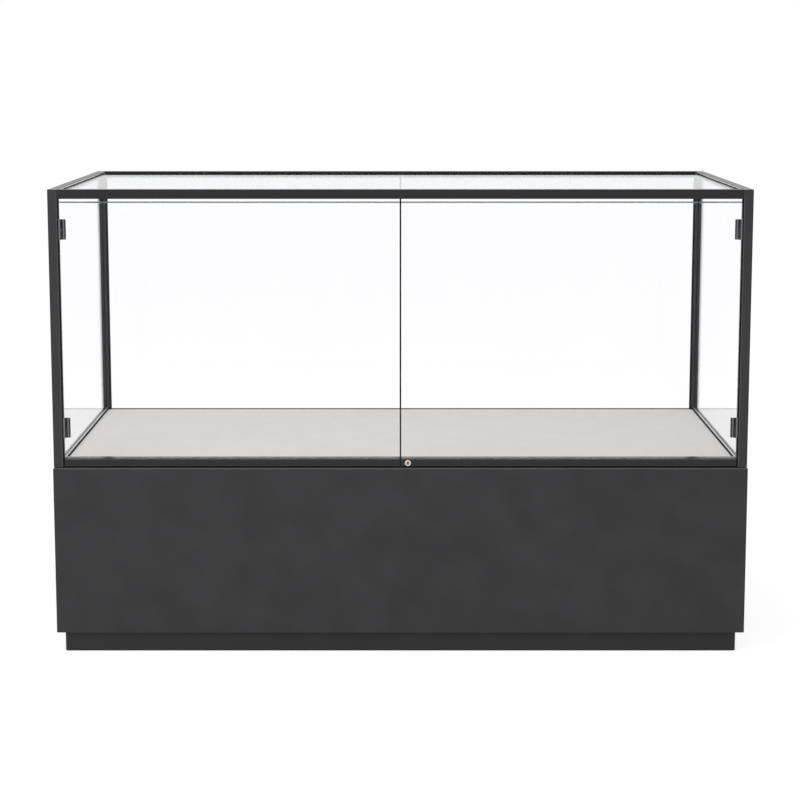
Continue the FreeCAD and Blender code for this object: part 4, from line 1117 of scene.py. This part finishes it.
class CASE_OT_lock(bpy.types.Operator):
    """Models the lock's rose, its washer and its turning plug"""
    bl_idname = "display_case.lock"
    bl_label = "Fit the lock"

    def execute(self, context):
        colours, sizes = settings().finishes, settings().sizes
        low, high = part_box("lock_body")
        axis, rim = (low + high) / 2, (high.x - low.x) / 2
        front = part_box("right_door_rail")[0].y
        nickel = turned_metal("lock_nickel", colours.nickel, axis)
        # Black finish of the rose's border and the washer: painted shadow round the lock
        black = coat("rim_painted_shadow", colours.rim, roughness=0.5, specular=0.05, peel=0.4 * MM, depth=0.006 * MM)
        brass = coat("keyway_brass", colours.keyway, roughness=0.5, specular=0.4, peel=0.3 * MM,
                     depth=0.01 * MM, swing=0.15)
        rose = finished(lock_rose(axis, front, rim), nickel, black)
        # Faces past this radius get the black finish: painted shadow round the lock's face
        border = rim - sizes.rose_shadow_rim
        finish_faces(rose, lambda face: off_axis(face.calc_center_median(), axis) > border, 1)
        washer = finished(lock_shadow_washer(axis, front, rim), black)
        plug = finished(lock_plug(axis), nickel, brass)
        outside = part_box("lock_cylinder")[0].y + NEAR

        def in_keyhole(face):
            middle = face.calc_center_median()
            across = abs(middle.x - axis.x) < sizes.keyhole_width * KEYHOLE_REACH_SHARE
            up = abs(middle.z - axis.z) < sizes.keyhole_height * KEYHOLE_REACH_SHARE
            return across and up and outside < middle.y < axis.y
        finish_faces(plug, in_keyhole, 1)
        fit(rose, "right_door", "lock_body")
        fit(washer, "right_door")
        fit(plug, "lock_plug", "lock_cylinder")
        return {"FINISHED"}


def seen(tree):
    """1 for rays that show the surroundings: camera, gloss and glass."""
    path = tree.nodes.new("ShaderNodeLightPath").outputs
    straight = reckon(tree, "MAXIMUM", path["Is Camera Ray"], path["Is Glossy Ray"])
    return reckon(tree, "MAXIMUM", straight, path["Is Transmission Ray"])


def lay_floor(stage):
    """A wide floor that looks white and keeps part of the shadow."""
    deselect()
    bpy.ops.mesh.primitive_circle_add(vertices=96, radius=FLOOR_RADIUS, fill_type="NGON")
    floor = named(bpy.context.active_object, "floor")
    finish = bpy.data.materials.new("pale_floor")
    finish.use_nodes = True
    tree = finish.node_tree
    tree.nodes.remove(tree.nodes["Principled BSDF"])
    pale = add_node(tree, "ShaderNodeBsdfDiffuse", {"Color": tone(stage.floor)}).outputs[0]
    white = add_node(tree, "ShaderNodeEmission", {"Strength": stage.floor_glow}).outputs[0]
    shown = add_node(tree, "ShaderNodeMixShader", {0: stage.shadow, 1: white, 2: pale}).outputs[0]
    show(tree, "Material Output", seen(tree), pale, shown)
    finished(floor, finish)


def light_world(stage):
    """White surroundings, with a softer light from all around."""
    world = bpy.data.worlds.new("white_studio")
    world.use_nodes = True
    tree = world.node_tree
    soft = tree.nodes["Background"]
    feed(tree, soft, {"Color": WHITE, "Strength": stage.ambient})
    white = add_node(tree, "ShaderNodeBackground", {"Color": WHITE, "Strength": 1.0})
    show(tree, "World Output", seen(tree), soft.outputs[0], white.outputs[0])
    bpy.context.scene.world = world


def hang_lamp(name, place, size, watts):
    """A square soft lamp aimed at the middle of the case."""
    light = bpy.data.lights.new(name, "AREA")
    light.size = size
    light.energy = watts
    lamp = linked(name, light)
    lamp.location = place
    middle = (CAD_BOX[0] + CAD_BOX[1]) / 2
    lamp.rotation_euler = (middle - Vector(place)).to_track_quat("-Z", "Y").to_euler()
    lamp.visible_camera = False


def set_camera(stage):
    """The camera, in front of the case and looking down a little."""
    lens = bpy.data.cameras.new("camera")
    lens.lens = stage.lens
    lens.shift_y = stage.shift
    camera = linked("camera", lens)
    camera.location = (stage.aside, -stage.back, stage.height)
    camera.rotation_euler = (math.radians(90) - stage.pitch, 0, 0)
    bpy.context.scene.camera = camera


class CASE_OT_stage(bpy.types.Operator):
    """Lays the pale floor, hangs the soft lamps and sets the camera"""
    bl_idname = "display_case.stage"
    bl_label = "Set the stage"

    def execute(self, context):
        stage = settings().stage
        context.scene.view_settings.view_transform = "Standard"
        lay_floor(stage)
        light_world(stage)
        hang_lamp("key_lamp", KEY_SPOT, KEY_WIDTH, stage.key)
        hang_lamp("fill_lamp", FILL_SPOT, FILL_WIDTH, stage.fill)
        set_camera(stage)
        return {"FINISHED"}


class CASE_PT_panel(bpy.types.Panel):
    """Lists the steps and the settings of the display case"""
    bl_idname = "CASE_PT_panel"
    bl_label = "Display case"
    bl_space_type = "VIEW_3D"
    bl_region_type = "UI"
    bl_category = "Display case"

    def draw(self, context):
        for step in STEPS:
            self.layout.operator(step.bl_idname)
        case = context.scene.display_case
        for group in (case.finishes, case.sizes, case.stage):
            column = self.layout.column(heading=group.__doc__)
            for name in group.__annotations__:
                column.prop(group, name)


STEPS = (CASE_OT_base, CASE_OT_plinth, CASE_OT_bars, CASE_OT_fixings, CASE_OT_seals, CASE_OT_glazing,
         CASE_OT_deck, CASE_OT_hinges, CASE_OT_lock, CASE_OT_stage)
CLASSES = (CaseFinishes, CaseSizes, CaseStage, CaseSettings) + STEPS + (CASE_PT_panel,)


def register():
    """Makes the settings, steps and panel known."""
    for kind in CLASSES:
        bpy.utils.register_class(kind)
    bpy.types.Scene.display_case = PointerProperty(type=CaseSettings)


def unregister():
    """Takes the settings, steps and panel away again."""
    del bpy.types.Scene.display_case
    for kind in reversed(CLASSES):
        bpy.utils.unregister_class(kind)


def main():
    """Dresses the case, sets its stage and writes both boxes."""
    register()
    for step in STEPS:
        group, name = step.bl_idname.split(".")
        getattr(getattr(bpy.ops, group), name)()


if __name__ == "__main__":
    main()
